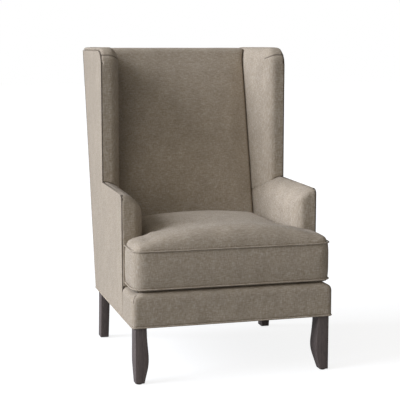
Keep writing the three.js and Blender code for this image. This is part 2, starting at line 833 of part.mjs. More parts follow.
// Front border: padded front edge that wraps round to the arm fronts
function borderBlock(inset, bottom) {
  const corners = [
    [-sideX, frontY, baseFrontCornerRadius],
    [sideX, frontY, baseFrontCornerRadius],
    [sideX, armFrontY + borderTopRadius + overrun],
    [-sideX, armFrontY + borderTopRadius + overrun],
  ];
  const ring = (z, drawn) => outline(corners, inset + drawn).map((p) => new THREE.Vector3(p.x, p.y, z));
  const radius = borderTopRadius - inset;
  const rounding = Array.from({ length: cornerSteps + 1 }, (_, k) => {
    const angle = (Math.PI / 2) * (k / cornerSteps);
    return ring(baseTop - borderTopRadius + radius * Math.sin(angle), radius * (1 - Math.cos(angle)));
  });
  return loft([ring(bottom, 0), ...rounding]);
}

function borderTrim(form) {
  const far = armFrontY + borderTopRadius + 2 * overrun;
  const behind = box(-sideX - overrun, sideX + overrun, armFrontY - clearance, far, 0, overallHeight);
  const railReach = frameX + clearance;
  const rails = box(-railReach, railReach, frontRailY - clearance, far, 0, railTop + clearance);
  const deckWell = box(-sideRailInnerX, sideRailInnerX, borderBackY, far, 0, overallHeight);
  return cut(form, behind, rails, deckWell);
}

place("front_border_foam", borderTrim(borderBlock(coverThickness + clearance, baseBottom)), foam);
const borderShell = cut(borderBlock(0, baseBottom), borderBlock(coverThickness, baseBottom - overrun));
place("front_border_cover", borderTrim(borderShell), fabric);

// Seat springs: sinuous wires from the front rail to the back rail
function seatSpring(x) {
  const firstY = frontRailBackY - springEndInset;
  const lastY = postFrontY(railTop) + springEndInset;
  const waves = Math.round((lastY - firstY - 2 * springEndLength) / springWave);
  const wave = (lastY - firstY - 2 * springEndLength) / waves;
  const path = [new THREE.Vector3(x, firstY, springZ)];
  for (let step = 0; step <= waves * springStepsPerWave; step++) {
    const turn = (2 * Math.PI * step) / springStepsPerWave;
    const along = (wave * step) / springStepsPerWave;
    const y = firstY + springEndLength + along - springOverhang * Math.sin(2 * turn);
    path.push(new THREE.Vector3(x + springHalfWidth * Math.sin(turn), y, springZ));
  }
  path.push(new THREE.Vector3(x, lastY, springZ));
  return cord(path, springWireRadius, 4, false);
}

for (let row = 0; row < springRows; row++) {
  place(`seat_spring_${row + 1}`, seatSpring(springPitch * (row - (springRows - 1) / 2)), steel);
}

// Deck pad on the springs, and the cloth that closes the base from below
function deckPad() {
  const earX = sideRailInnerX - clearance;
  const earBackY = armFrontY - clearance;
  const rearY = innerBackY(deckBottom) - clearance;
  const half = [
    [earX, borderBackY + clearance],
    [earX, earBackY],
    [armInnerX(armFrontY) - clearance, earBackY],
    [armInnerX(rearY) - clearance, rearY],
  ];
  const otherHalf = half.map(([x, y]) => [-x, y]).reverse();
  return prism(outline([...half, ...otherHalf]), "z", deckBottom, baseTop);
}

function dustCover() {
  const reach = frameX - dustClothMargin;
  const nearY = frontRailY + dustClothMargin;
  const farY = postRearY(baseBottom) - dustClothMargin;
  const low = legHeight - dustClothThickness;
  const notches = [
    [frontLegWidth, frontLegY, frontLegY + frontLegDepth],
    [backLegWidth, backLegRearY - backLegDepth, backLegRearY + backLegRake],
  ].map(([width, y0, y1]) => {
    const inner = legOuterX - width - clearance;
    return box(inner, sideX, y0 - clearance, y1 + clearance, low - overrun, baseBottom);
  });
  return cut(box(-reach, reach, nearY, farY, low, legHeight), ...notches, ...notches.map(mirrorX));
}

place("deck_pad", deckPad(), foam);
place("dust_cover", dustCover(), webbing);

// Piping round the lower edge of the base
function baseWelt() {
  const rearY = outerBackY(baseBottom);
  const corners = [
    [-sideX, frontY, baseFrontCornerRadius],
    [sideX, frontY, baseFrontCornerRadius],
    [sideX, rearY, baseBackCornerRadius],
    [-sideX, rearY, baseBackCornerRadius],
  ];
  const z = baseBottom - clearance - baseWeltRadius;
  const path = outline(corners, baseWeltRadius - weltProud).map((p) => new THREE.Vector3(p.x, p.y, z));
  return cord(path, baseWeltRadius, 6, true);
}

place("base_welt", baseWelt(), fabric);

// Seat cushion: T-shaped plan, crowned top, boxed sides with a groove for each piping
const grooveHalf = grooveWidthShare * cushionWeltRadius;
const grooveDepth = grooveDepthShare * cushionWeltRadius;
const grooveSlant = Math.hypot(grooveHalf, grooveDepth) / grooveHalf;
const weltOffset = (cushionWeltRadius + cushionWeltClearance) * grooveSlant - grooveDepth;
const cushionSideGap = weltOffset + cushionWeltRadius + clearance;
const cushionBottom = baseTop + clearance;
const bottomWeltZ = cushionBottom + cushionBottomDepth;
const topWeltZ = baseTop + cushionHeight;
const cushionFrontY = frontY + cushionFrontInset;
const cushionEarX = sideX - cushionSideInset;
const cushionEarBackY = armFrontY - cushionSideGap;
const cushionStemX = (y) => armInnerX(y) - cushionSideGap;
const cushionRearY = (z) => innerBackY(z) - cushionRearGap;
const crownCentre = new THREE.Vector2(0, (cushionFrontY + cushionEarBackY) / 2);

function cushionPlan(z, inset) {
  const rearY = cushionRearY(z);
  const stemY = (cushionEarBackY + rearY) / 2;
  const quarterBow = cushionBow * quarterBowShare;
  const half = [
    [cushionEarX / 2, cushionFrontY - quarterBow],
    [cushionEarX, cushionFrontY, cushionFrontRadius, cushionFrontSteps],
    [cushionEarX, cushionEarBackY, cushionEarRadius],
    [cushionStemX(cushionEarBackY), cushionEarBackY, cushionInnerRadius],
    [cushionStemX(stemY) - cushionBow, stemY],
    [cushionStemX(rearY), rearY, cushionRearRadius],
    [cushionStemX(rearY) / 2, rearY + quarterBow],
  ];
  const otherHalf = half.map(([x, ...rest]) => [-x, ...rest]).reverse();
  const middles = [cushionFrontY - cushionBow, rearY + cushionBow].map((y) => [0, y]);
  return outline([middles[0], ...half, middles[1], ...otherHalf], inset, cushionCornerSteps);
}

function cushionRing(z, inset, lift = 0) {
  return cushionPlan(z, inset).map((point) => new THREE.Vector3(point.x, point.y, z + lift));
}

function crownRing(share, skin) {
  const rise = 1 - share ** crownPower;
  return cushionPlan(topWeltZ, skin).map((edge) => {
    const point = edge.clone().sub(crownCentre).multiplyScalar(share).add(crownCentre);
    const dome = cushionDome * (1 - (point.x / cushionDomeHalfWidth) ** 2);
    return new THREE.Vector3(point.x, point.y, topWeltZ + grooveHalf + rise * (cushionShoulder + dome - skin));
  });
}

function cushionBody(skin) {
  const rings = bottomRoundShares.map(([height, inset]) => {
    const z = cushionBottom + skin + (cushionBottomDepth - grooveHalf - skin) * height;
    return cushionRing(z, skin + cushionBottomRound * inset);
  });
  const wall = topWeltZ - bottomWeltZ;
  rings.push(cushionRing(bottomWeltZ - grooveHalf, skin));
  rings.push(cushionRing(bottomWeltZ, skin + grooveDepth));
  rings.push(cushionRing(bottomWeltZ + grooveHalf, skin));
  rings.push(cushionRing(bottomWeltZ + wall * bulgeEndShare, skin - cushionBulge));
  rings.push(cushionRing(topWeltZ - wall * bulgeEndShare, skin - cushionBulge));
  rings.push(cushionRing(topWeltZ - grooveHalf, skin));
  rings.push(cushionRing(topWeltZ, skin + grooveDepth));
  rings.push(cushionRing(topWeltZ, skin, grooveHalf));
  rings.push(...crownRingShares.map((share) => crownRing(share, skin)));
  return loft(rings);
}

function cushionWelt(z) {
  return cord(cushionRing(z, -weltOffset), cushionWeltRadius, 6, true);
}

// The zip lies in the leaning rear wall: u points out of the wall, w up along it
const zipZ = (bottomWeltZ + topWeltZ) / 2;
const zipLength = 2 * (cushionStemX(cushionRearY(zipZ)) - zipEndGap);
const zipLean = Math.atan2(innerBackY(topWeltZ) - innerBackY(bottomWeltZ), topWeltZ - bottomWeltZ);

function zipPrism(pairs, fromX, toX) {
  const wallY = cushionRearY(zipZ) + cushionBulge;
  const points = pairs.map(([u, w]) => {
    const y = wallY + u * Math.cos(zipLean) + w * Math.sin(zipLean);
    const z = zipZ - u * Math.sin(zipLean) + w * Math.cos(zipLean);
    return new THREE.Vector2(y, z);
  });
  return prism(points, "x", fromX, toX);
}

const zipRectangle = (u0, u1, w0, w1) => [
  [u0, w0],
  [u1, w0],
  [u1, w1],
  [u0, w1],
];

function zipSlot() {
  const halfHeight = zipTapeHeight / 2 + clearance;
  const halfLength = zipLength / 2 + clearance;
  const depth = cushionCoverThickness + cushionPadClearance;
  return zipPrism(zipRectangle(-depth, depth, -halfHeight, halfHeight), -halfLength, halfLength);
}

function zip() {
  const tape = zipRectangle(-zipTapeThickness, 0, -zipTapeHeight / 2, zipTapeHeight / 2);
  const coil = zipRectangle(-zipTapeThickness / 2, zipCoilProud, -zipCoilHeight / 2, zipCoilHeight / 2);
  const half = zipLength / 2;
  return join(zipPrism(tape, -half, half), zipPrism(coil, -half, half));
}

function zipSlider() {
  const groove = zipCoilHeight / 2 + clearance;
  const ceiling = zipCoilProud + clearance;
  const outer = clearance + sliderThickness;
  const body = [
    [clearance, -sliderHeight / 2],
    [outer, -sliderHeight / 2],
    [outer, sliderHeight / 2],
    [clearance, sliderHeight / 2],
    [clearance, groove],
    [ceiling, groove],
    [ceiling, -groove],
    [clearance, -groove],
  ];
  const startX = zipLength / 2 - sliderLength;
  const tabX = startX + (sliderLength - sliderTabWidth) / 2;
  const tabFoot = -sliderHeight / 2 - sliderTabLength;
  const tab = zipRectangle(outer - sliderTabThickness, outer, tabFoot, 0);
  return join(zipPrism(body, startX, startX + sliderLength), zipPrism(tab, tabX, tabX + sliderTabWidth));
}

const cushion = new THREE.Group();
chair.add(cushion);
place("seat_cushion_core", cushionBody(cushionCoverThickness + cushionPadClearance), foam, cushion);
const cushionCover = cut(cushionBody(0), cushionBody(cushionCoverThickness), zipSlot());
place("seat_cushion_cover", cushionCover, fabric, cushion);
place("cushion_welt_top", cushionWelt(topWeltZ), fabric, cushion);
place("cushion_welt_bottom", cushionWelt(bottomWeltZ), fabric, cushion);
place("cushion_zip", zip(), webbing, cushion);
place("zip_slider", zipSlider(), steel, cushion);

export default chair;
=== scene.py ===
"""High-back upholstered wing chair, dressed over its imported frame.

Lengths are metres in the frame's own axes: +Z up, the chair faces -Y, the floor is at zero. Each
sub-assembly is a class that builds its pieces and dresses them, and main() makes them in order.
"""

from __future__ import annotations

import json
import logging
import math
from collections.abc import Callable, Iterable, Iterator, Sequence
from contextlib import contextmanager
from dataclasses import dataclass, field
from enum import Enum

import bpy
import numpy as np
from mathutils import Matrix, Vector

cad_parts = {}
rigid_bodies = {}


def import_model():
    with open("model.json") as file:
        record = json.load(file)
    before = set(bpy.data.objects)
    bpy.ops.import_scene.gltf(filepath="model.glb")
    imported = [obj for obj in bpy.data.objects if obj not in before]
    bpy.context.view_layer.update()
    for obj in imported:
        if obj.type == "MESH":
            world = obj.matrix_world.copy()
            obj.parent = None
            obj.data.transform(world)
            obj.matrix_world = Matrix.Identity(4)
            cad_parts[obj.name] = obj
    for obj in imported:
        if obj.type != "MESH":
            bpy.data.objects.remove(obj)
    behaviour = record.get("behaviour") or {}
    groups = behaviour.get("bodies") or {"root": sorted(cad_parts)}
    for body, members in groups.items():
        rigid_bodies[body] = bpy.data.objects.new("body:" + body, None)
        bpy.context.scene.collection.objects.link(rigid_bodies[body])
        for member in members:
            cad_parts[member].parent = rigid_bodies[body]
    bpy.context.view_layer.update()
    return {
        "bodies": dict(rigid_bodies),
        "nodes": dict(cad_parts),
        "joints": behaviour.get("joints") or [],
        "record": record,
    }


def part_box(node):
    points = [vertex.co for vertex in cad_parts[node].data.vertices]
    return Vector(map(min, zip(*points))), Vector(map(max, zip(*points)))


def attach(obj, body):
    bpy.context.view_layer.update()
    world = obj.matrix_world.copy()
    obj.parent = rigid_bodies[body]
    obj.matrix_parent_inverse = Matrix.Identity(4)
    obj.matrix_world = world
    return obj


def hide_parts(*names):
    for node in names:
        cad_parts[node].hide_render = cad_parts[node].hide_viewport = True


MM = 0.001
# Two distances from an edge, between which a form goes from nothing to its full size.
Span = tuple[float, float]
LOG = logging.getLogger("wing_chair")


class Side(Enum):
    """Left and right as seen from the front; the value is the sign of x."""

    LEFT = -1
    RIGHT = 1

    @property
    def word(self) -> str:
        """The side's name as the nodes spell it."""
        return self.name.lower()


class Body(Enum):
    """The bodies that new pieces ride on."""

    CHAIR = "chair"
    CUSHION = "seat_cushion"


class Slot(Enum):
    """Names of the record's material slots; a pad keeps one as a field, which nothing reads."""

    COVER = "cover_fabric"
    STAINED_WOOD = "stained_wood"
    WEBBING = "webbing"
    STEEL = "steel"


class Grain(Enum):
    """The axis along which yarns or wood fibres run."""

    X = 0
    Y = 1
    Z = 2


# Finishes


def linear(hex_colour: str) -> tuple[float, float, float, float]:
    """Turns an sRGB hex colour to linear light.

    Args:
        hex_colour: Six hex digits.

    Returns:
        Red, green, blue and an alpha of 1.
    """
    parts = [int(hex_colour[i : i + 2], 16) / 255 for i in (0, 2, 4)]
    bent = [c / 12.92 if c <= 0.04045 else ((c + 0.055) / 1.055) ** 2.4 for c in parts]
    return (bent[0], bent[1], bent[2], 1.0)


def add_node(
    tree: bpy.types.NodeTree,
    kind: str,
    inputs: dict[str | int, object] | None = None,
    **settings: object,
) -> bpy.types.Node:
    """Adds a node with its settings, and links or sets its inputs.

    Args:
        tree: The node tree that gets it.
        kind: The node's type name.
        inputs: Values or output sockets by the input's name or number.
        **settings: The node's own properties.

    Returns:
        The new node.
    """
    node = tree.nodes.new(kind)
    for name, value in settings.items():
        setattr(node, name, value)
    for key, value in (inputs or {}).items():
        if isinstance(value, bpy.types.NodeSocket):
            tree.links.new(value, node.inputs[key])
        else:
            node.inputs[key].default_value = value
    return node


@dataclass(frozen=True)
class Finish:
    """A surface finish, made once as a node material and shared by its pieces."""

    name: str

    def material(self) -> bpy.types.Material:
        """Makes the material, or finds it where it is made already.

        Returns:
            The material.
        """
        found = bpy.data.materials.get(self.name)
        if found is not None:
            return found
        made = bpy.data.materials.new(self.name)
        made.use_nodes = True
        tree = made.node_tree
        shader = tree.nodes["Principled BSDF"]
        self.shade(tree, shader)
        return made

    def shade(self, tree: bpy.types.NodeTree, shader: bpy.types.Node) -> None:
        """Builds the finish's nodes into the shader; each finish has its own.

        Args:
            tree: The material's node tree.
            shader: Its Principled shader.
        """
        raise NotImplementedError

    @staticmethod
    def drawn_noise(
        tree: bpy.types.NodeTree,
        coords: bpy.types.NodeSocket,
        grain: Grain,
        across: float,
        along: float,
        detail: float = 2.0,
    ) -> bpy.types.NodeSocket:
        """Noise that is drawn out along one axis.

        Args:
            tree: The material's node tree.
            coords: Object coordinates.
            grain: The axis of the long way.
            across: Size of a feature across that axis.
            along: Size of a feature along it.
            detail: Octaves of the noise.

        Returns:
            The noise's value socket.
        """
        scale = [1 / across] * 3
        scale[grain.value] = 1 / along
        placed = add_node(tree, "ShaderNodeMapping", {"Vector": coords, "Scale": scale})
        inputs = {"Vector": placed.outputs["Vector"], "Scale": 1.0, "Detail": detail}
        noise = add_node(tree, "ShaderNodeTexNoise", inputs)
        return noise.outputs["Fac"]

    @staticmethod
    def dyed(
        tree: bpy.types.NodeTree,
        value: bpy.types.NodeSocket,
        span: tuple[float, float],
        colours: Sequence[str],
    ) -> bpy.types.NodeSocket:
        """Spreads colours evenly over a span of a value.

        Args:
            tree: The material's node tree.
            value: The value.
            span: Where the first colour lies in it, and where the last.
            colours: Hex colours, from low to high.

        Returns:
            The colour socket.
        """
        reach = {"Value": value, "From Min": span[0], "From Max": span[1]}
        level = add_node(tree, "ShaderNodeMapRange", reach).outputs["Result"]
        node = add_node(tree, "ShaderNodeValToRGB", {"Fac": level})
        marks = node.color_ramp.elements
        for k in range(1, len(colours) - 1):
            marks.new(k / (len(colours) - 1))
        for mark, colour in zip(marks, colours):
            mark.color = linear(colour)
        return node.outputs["Color"]


@dataclass(frozen=True)
class WovenCloth(Finish):
    """Plain-woven cloth of uneven yarns: crossed threads, darker and paler slubs, a fuzzy sheen."""

    dark: str
    middle: str
    light: str
    # A yarn of this cloth is under a millimetre; it is drawn this coarse so that it shows.
    yarn: float = 3.0 * MM
    slub: float = 15 * MM
    contrast: float = 1.0
    relief: float = 0.7 * MM
    relief_strength: float = 0.8
    sheen: float = 0.12
    sheen_colour: str = "D8D0C6"
    sheen_roughness: float = 0.45
    roughness: float = 0.92
    gloss: float = 0.25
    # Painted shade: the dark colour laid into seam grooves, pleat folds and turned panel edges, where
    # shade falls.
    seam_shade_colour: str = "4A4138"
    # Half the range of the threads' noise that the three colours are spread over.
    reach: float = 0.28
    # Broad clouds of tone, as an uneven dye leaves them: their size, and how far they go.
    cloud: tuple[float, float] = (60 * MM, 90 * MM)
    cloud_tones: tuple[float, float] = (0.93, 1.05)

    def shade(self, tree: bpy.types.NodeTree, shader: bpy.types.Node) -> None:
        """Colours and raises the weave, and lays painted shade along the seams and folds that a piece
        marks.

        Args:
            tree: The material's node tree.
            shader: Its Principled shader.
        """
        places = add_node(tree, "ShaderNodeTexCoord")
        coords = places.outputs["Object"]
        weave = self.weave(tree, coords, places.outputs["Normal"])
        clouded = self.clouded(tree, coords, weave)
        # Painted shade: the seam attribute that a piece writes darkens the cloth towards the shade
        # colour along its grooves and folds.
        seam = add_node(tree, "ShaderNodeAttribute", attribute_name="seam").outputs["Fac"]
        seam_shading = {0: seam, 6: clouded, 7: linear(self.seam_shade_colour)}
        joined = add_node(tree, "ShaderNodeMix", seam_shading, data_type="RGBA")
        tree.links.new(joined.outputs[2], shader.inputs["Base Color"])
        raised = {"Height": weave, "Distance": self.relief, "Strength": self.relief_strength}
        bump = add_node(tree, "ShaderNodeBump", raised)
        tree.links.new(bump.outputs["Normal"], shader.inputs["Normal"])
        shader.inputs["Roughness"].default_value = self.roughness
        shader.inputs["Specular IOR Level"].default_value = self.gloss
        shader.inputs["Sheen Weight"].default_value = self.sheen
        shader.inputs["Sheen Roughness"].default_value = self.sheen_roughness
        shader.inputs["Sheen Tint"].default_value = linear(self.sheen_colour)

    def weave(
        self,
        tree: bpy.types.NodeTree,
        coords: bpy.types.NodeSocket,
        normal: bpy.types.NodeSocket,
    ) -> bpy.types.NodeSocket:
        """Crosses the two sets of threads that lie in each face, and leaves out the third.

        Args:
            tree: The material's node tree.
            coords: Object coordinates.
            normal: The surface's direction in the same axes.

        Returns:
            The height of the threads, about 0.5.
        """
        facing = add_node(tree, "ShaderNodeSeparateXYZ", {0: normal})
        height: bpy.types.NodeSocket | float = 0.5
        for grain in Grain:
            thread = self.drawn_noise(tree, coords, grain, self.yarn, self.slub)
            ends_on = {0: facing.outputs[grain.value]}
            pierced = add_node(tree, "ShaderNodeMath", ends_on, operation="ABSOLUTE").outputs[0]
            lying = {"Value": pierced, "To Min": 1.0, "To Max": 0.0}
            share = add_node(tree, "ShaderNodeMapRange", lying).outputs["Result"]
            centred = add_node(tree, "ShaderNodeMath", {0: thread, 1: 0.5}, operation="SUBTRACT")
            laid = {0: centred.outputs[0], 1: share, 2: height}
            height = add_node(tree, "ShaderNodeMath", laid, operation="MULTIPLY_ADD").outputs[0]
        return height

    def clouded(
        self,
        tree: bpy.types.NodeTree,
        coords: bpy.types.NodeSocket,
        weave: bpy.types.NodeSocket,
    ) -> bpy.types.NodeSocket:
        """Colours the threads by their height, under broad clouds of tone.

        Args:
            tree: The material's node tree.
            coords: Object coordinates.
            weave: The height of the threads.

        Returns:
            The cloth's colour.
        """
        reach = self.reach / self.contrast
        span = (0.5 - reach, 0.5 + reach)
        colour = self.dyed(tree, weave, span, (self.dark, self.middle, self.light))
        cloudy = self.drawn_noise(tree, coords, Grain.Z, *self.cloud)
        faint, strong = self.cloud_tones
        tone = {"Value": cloudy, "From Min": 0.3, "From Max": 0.7, "To Min": faint, "To Max": strong}
        tone_value = add_node(tree, "ShaderNodeMapRange", tone).outputs["Result"]
        toned = {0: 1.0, 6: colour, 7: tone_value}
        mixed = add_node(tree, "ShaderNodeMix", toned, data_type="RGBA", blend_type="MULTIPLY")
        return mixed.outputs[2]


@dataclass(frozen=True)
class StainedWood(Finish):
    """Open-grained hardwood under a thin satin stain: straight grain, fine pores, soft gloss."""

    dark: str
    light: str
    grain: Grain = Grain.Z
    fibre: float = 1.6 * MM
    figure: float = 70 * MM
    roughness: float = 0.42
    coat: float = 0.12
    coat_roughness: float = 0.3
    # Where the summed streaks and pores take the dark and the light colour.
    tones: tuple[float, float] = (0.7, 1.3)
    # How much duller the pores are than the roughness, and how much glossier the rest.
    duller: float = 0.12
    glossier: float = 0.08
    relief: float = 0.2 * MM
    relief_strength: float = 0.35

    def shade(self, tree: bpy.types.NodeTree, shader: bpy.types.Node) -> None:
        """Lays the grain along its axis, with pores that take colour and gloss away.

        Args:
            tree: The material's node tree.
            shader: Its Principled shader.
        """
        coords = add_node(tree, "ShaderNodeTexCoord").outputs["Object"]
        streaks = self.drawn_noise(tree, coords, self.grain, self.fibre * 2, self.figure, 4.0)
        pores = self.drawn_noise(tree, coords, self.grain, self.fibre, self.figure / 4, 3.0)
        half = {0: streaks, 1: pores}
        total = add_node(tree, "ShaderNodeMath", half, operation="ADD").outputs[0]
        colour = self.dyed(tree, total, self.tones, (self.dark, self.light))
        tree.links.new(colour, shader.inputs["Base Color"])
        dull, bright = self.roughness + self.duller, self.roughness - self.glossier
        gloss = {"Value": pores, "To Min": dull, "To Max": bright}
        rough = add_node(tree, "ShaderNodeMapRange", gloss).outputs["Result"]
        tree.links.new(rough, shader.inputs["Roughness"])
        raised = {"Height": total, "Distance": self.relief, "Strength": self.relief_strength}
        bump = add_node(tree, "ShaderNodeBump", raised)
        tree.links.new(bump.outputs["Normal"], shader.inputs["Normal"])
        shader.inputs["IOR"].default_value = 1.5
        shader.inputs["Coat Weight"].default_value = self.coat
        shader.inputs["Coat Roughness"].default_value = self.coat_roughness


@dataclass(frozen=True)
class Metal(Finish):
    """Drawn or plated metal: fine marks along the wire and cloudy gloss."""

    dark: str
    light: str
    roughness: float
    mark: float = 1.2 * MM
    tones: tuple[float, float] = (0.3, 0.7)
    cloudiness: float = 0.1

    def shade(self, tree: bpy.types.NodeTree, shader: bpy.types.Node) -> None:
        """Varies colour and gloss together over small marks.

        Args:
            tree: The material's node tree.
            shader: Its Principled shader.
        """
        coords = add_node(tree, "ShaderNodeTexCoord").outputs["Object"]
        marks = self.drawn_noise(tree, coords, Grain.Y, self.mark, self.mark * 12, 3.0)
        colour = self.dyed(tree, marks, self.tones, (self.dark, self.light))
        tree.links.new(colour, shader.inputs["Base Color"])
        bright, dull = self.roughness - self.cloudiness, self.roughness + self.cloudiness
        gloss = {"Value": marks, "To Min": bright, "To Max": dull}
        rough = add_node(tree, "ShaderNodeMapRange", gloss).outputs["Result"]
        tree.links.new(rough, shader.inputs["Roughness"])
        shader.inputs["Metallic"].default_value = 1.0


@dataclass(frozen=True)
class MouldedPlastic(Finish):
    """Injection-moulded plastic: a fine even grain and scuffs that dull it."""

    dark: str
    light: str
    grit: float = 0.8 * MM
    tones: tuple[float, float] = (0.35, 0.7)
    roughness: tuple[float, float] = (0.42, 0.62)
    relief: float = 0.08 * MM
    relief_strength: float = 0.4

    def shade(self, tree: bpy.types.NodeTree, shader: bpy.types.Node) -> None:
        """Gives it a fine grain and a cloudy gloss.

        Args:
            tree: The material's node tree.
            shader: Its Principled shader.
        """
        coords = add_node(tree, "ShaderNodeTexCoord").outputs["Object"]
        grain = self.drawn_noise(tree, coords, Grain.Z, self.grit, self.grit, 3.0)
        scuffs = self.drawn_noise(tree, coords, Grain.X, self.grit * 6, self.grit * 9, 3.0)
        colour = self.dyed(tree, scuffs, self.tones, (self.dark, self.light))
        tree.links.new(colour, shader.inputs["Base Color"])
        gloss = {"Value": scuffs, "To Min": self.roughness[0], "To Max": self.roughness[1]}
        rough = add_node(tree, "ShaderNodeMapRange", gloss).outputs["Result"]
        tree.links.new(rough, shader.inputs["Roughness"])
        raised = {"Height": grain, "Distance": self.relief, "Strength": self.relief_strength}
        bump = add_node(tree, "ShaderNodeBump", raised)
        tree.links.new(bump.outputs["Normal"], shader.inputs["Normal"])


# Taupe linen: warm grey-brown yarns with pale and dark slubs, dull, with a pale bloom at a slant.
LINEN = WovenCloth("taupe_linen", "857965", "A19585", "BCB2A5", contrast=0.62)
# Lining cotton on the deck under the cushion: paler, finer and flatter than the cover.
DECK_LINING = WovenCloth("deck_lining_cotton", "A99F8E", "BDB4A3", "CBC3B4", 1.8 * MM, 9 * MM)
# Spun-bonded dust cloth under the base: nearly black, felted, without a weave's sheen.
DUST_CLOTH = WovenCloth("spun_dust_cloth", "201E1D", "2A2827", "383534", 1.5 * MM, 5 * MM, sheen=0.1)
# Rubberised seat webbing: black ribbed tape.
WEBBING = WovenCloth("ribbed_webbing", "221F1D", "322E2B", "4A4540", 2 * MM, 30 * MM, sheen=0.1)
# Zip tape: polyester twill a shade darker than the cover.
ZIP_TAPE = WovenCloth("zip_tape_twill", "6E6253", "82766A", "958A7C", 1.2 * MM, 4 * MM, sheen=0.15)
# Ebonised oak on the legs: dark grey-brown with straight grain and a satin coat.
EBONISED_OAK = StainedWood("ebonised_oak", "4E4644", "6C615D")
# Kiln-dried beech of the inner frame, planed and unfinished, with its grain along each member.
BEECH_UPRIGHT = StainedWood("frame_beech_upright", "A67F55", "C9A67C", Grain.Z, roughness=0.7, coat=0.0)
BEECH_ACROSS = StainedWood("frame_beech_across", "A67F55", "C9A67C", Grain.X, roughness=0.7, coat=0.0)
BEECH_ALONG = StainedWood("frame_beech_along", "A67F55", "C9A67C", Grain.Y, roughness=0.7, coat=0.0)
# Oil-tempered spring wire: blue-black, half bright.
SPRING_STEEL = Metal("tempered_spring_wire", "34363A", "5B5E63", 0.42)
# Zinc-plated leg studs and staples: pale grey, slightly cloudy.
ZINC = Metal("zinc_plate", "8E9194", "B8BBBE", 0.38)
# Antique nickel zip slider: warm dark grey, worn bright.
NICKEL = Metal("antique_nickel", "6C675F", "A39D92", 0.34)
# Polyethylene glides: near black, matt.
GLIDE_PLASTIC = MouldedPlastic("moulded_glide", "1B1918", "2C2928")
# Nylon zip coil: the tape's shade, smoother than cloth.
ZIP_COIL = MouldedPlastic("nylon_zip_coil", "5E5448", "786C5E")


# Work with Blender's own tools


class Bench:
    """Blender's tools as a modeller uses them: one piece at a time is selected and active."""

    @staticmethod
    def clear() -> None:
        """Leaves nothing selected."""
        bpy.ops.object.select_all(action="DESELECT")

    @staticmethod
    def take(piece: bpy.types.Object) -> bpy.types.Object:
        """Selects one piece alone and makes it active.

        Args:
            piece: The piece.

        Returns:
            The same piece.
        """
        Bench.clear()
        piece.select_set(True)
        bpy.context.view_layer.objects.active = piece
        return piece

    @staticmethod
    @contextmanager
    def editing(piece: bpy.types.Object) -> Iterator[None]:
        """Keeps a piece in edit mode for as long as the block runs.

        Args:
            piece: The piece.
        """
        Bench.take(piece)
        bpy.ops.object.mode_set(mode="EDIT")
        try:
            yield
        finally:
            bpy.ops.object.mode_set(mode="OBJECT")

    @staticmethod
    def pick(piece: bpy.types.Object, kind: str, wanted: np.ndarray) -> None:
        """Selects some vertices, edges or faces, for the next edit.

        Args:
            piece: The piece, in object mode.
            kind: "VERT", "EDGE" or "FACE".
            wanted: One flag for each.
        """
        kinds = ("VERT", "EDGE", "FACE")
        mesh = piece.data
        groups = (mesh.vertices, mesh.edges, mesh.polygons)
        bpy.context.tool_settings.mesh_select_mode = tuple(kind == k for k in kinds)
        for name, group in zip(kinds, groups):
            flags = wanted if name == kind else np.zeros(len(group), bool)
            group.foreach_set("select", np.ascontiguousarray(flags, dtype=bool))

    @staticmethod
    def apply(piece: bpy.types.Object, kind: str, **settings: object) -> None:
        """Adds a modifier with its settings and applies it.

        Args:
            piece: The piece.
            kind: The modifier's type.
            **settings: The modifier's properties.
        """
        Bench.take(piece)
        modifier = piece.modifiers.new(kind.title(), kind)
        for name, value in settings.items():
            setattr(modifier, name, value)
        bpy.ops.object.modifier_apply(modifier=modifier.name)

    @staticmethod
    def settle(piece: bpy.types.Object) -> None:
        """Puts the piece's place, turn and scale into its mesh.

        Args:
            piece: The piece.
        """
        Bench.take(piece)
        bpy.ops.object.transform_apply(location=True, rotation=True, scale=True)

    @staticmethod
    def block(name: str, low: Sequence[float], high: Sequence[float]) -> bpy.types.Object:
        """A block to start from, added at its size and place.

        Args:
            name: The piece's name.
            low: Its lowest corner.
            high: Its highest corner.

        Returns:
            The new piece.
        """
        Bench.clear()
        middle = [(a + b) / 2 for a, b in zip(low, high)]
        size = [b - a for a, b in zip(low, high)]
        bpy.ops.mesh.primitive_cube_add(size=1, location=middle, scale=size)
        piece = bpy.context.object
        piece.name = name
        Bench.settle(piece)
        return piece

    @staticmethod
    def ease_edges(piece: bpy.types.Object, width: float, segments: int) -> None:
        """Bevels all edges of a piece.

        Args:
            piece: The piece.
            width: The bevel's width.
            segments: Its steps.
        """
        with Bench.editing(piece):
            bpy.ops.mesh.select_all(action="SELECT")
            bpy.ops.mesh.bevel(offset=width, segments=segments)

    @staticmethod
    def cut_across(piece: bpy.types.Object, axis: int, places: Iterable[float]) -> None:
        """Divides a piece by planes across one axis, so that it can bend or swell there.

        Args:
            piece: The piece.
            axis: 0, 1 or 2 for x, y or z.
            places: Where the planes cross that axis.
        """
        way = tuple(float(k == axis) for k in range(3))
        with Bench.editing(piece):
            for place in places:
                bpy.ops.mesh.select_all(action="SELECT")
                bpy.ops.mesh.bisect(plane_co=tuple(place * w for w in way), plane_no=way)

    @staticmethod
    def join(name: str, parts: Sequence[bpy.types.Object]) -> bpy.types.Object:
        """Joins parts into one piece.

        Args:
            name: The piece's name.
            parts: The parts.

        Returns:
            The joined piece.
        """
        Bench.take(parts[0])
        for part in parts:
            part.select_set(True)
        if len(parts) > 1:
            bpy.ops.object.join()
        piece = bpy.context.object
        piece.name = name
        return piece

    @staticmethod
    def smooth(piece: bpy.types.Object, degrees: float = 35) -> None:
        """Shades a piece smooth, with edges sharper than an angle kept.

        Args:
            piece: The piece.
            degrees: The angle.
        """
        Bench.take(piece)
        bpy.ops.object.shade_smooth_by_angle(angle=math.radians(degrees))


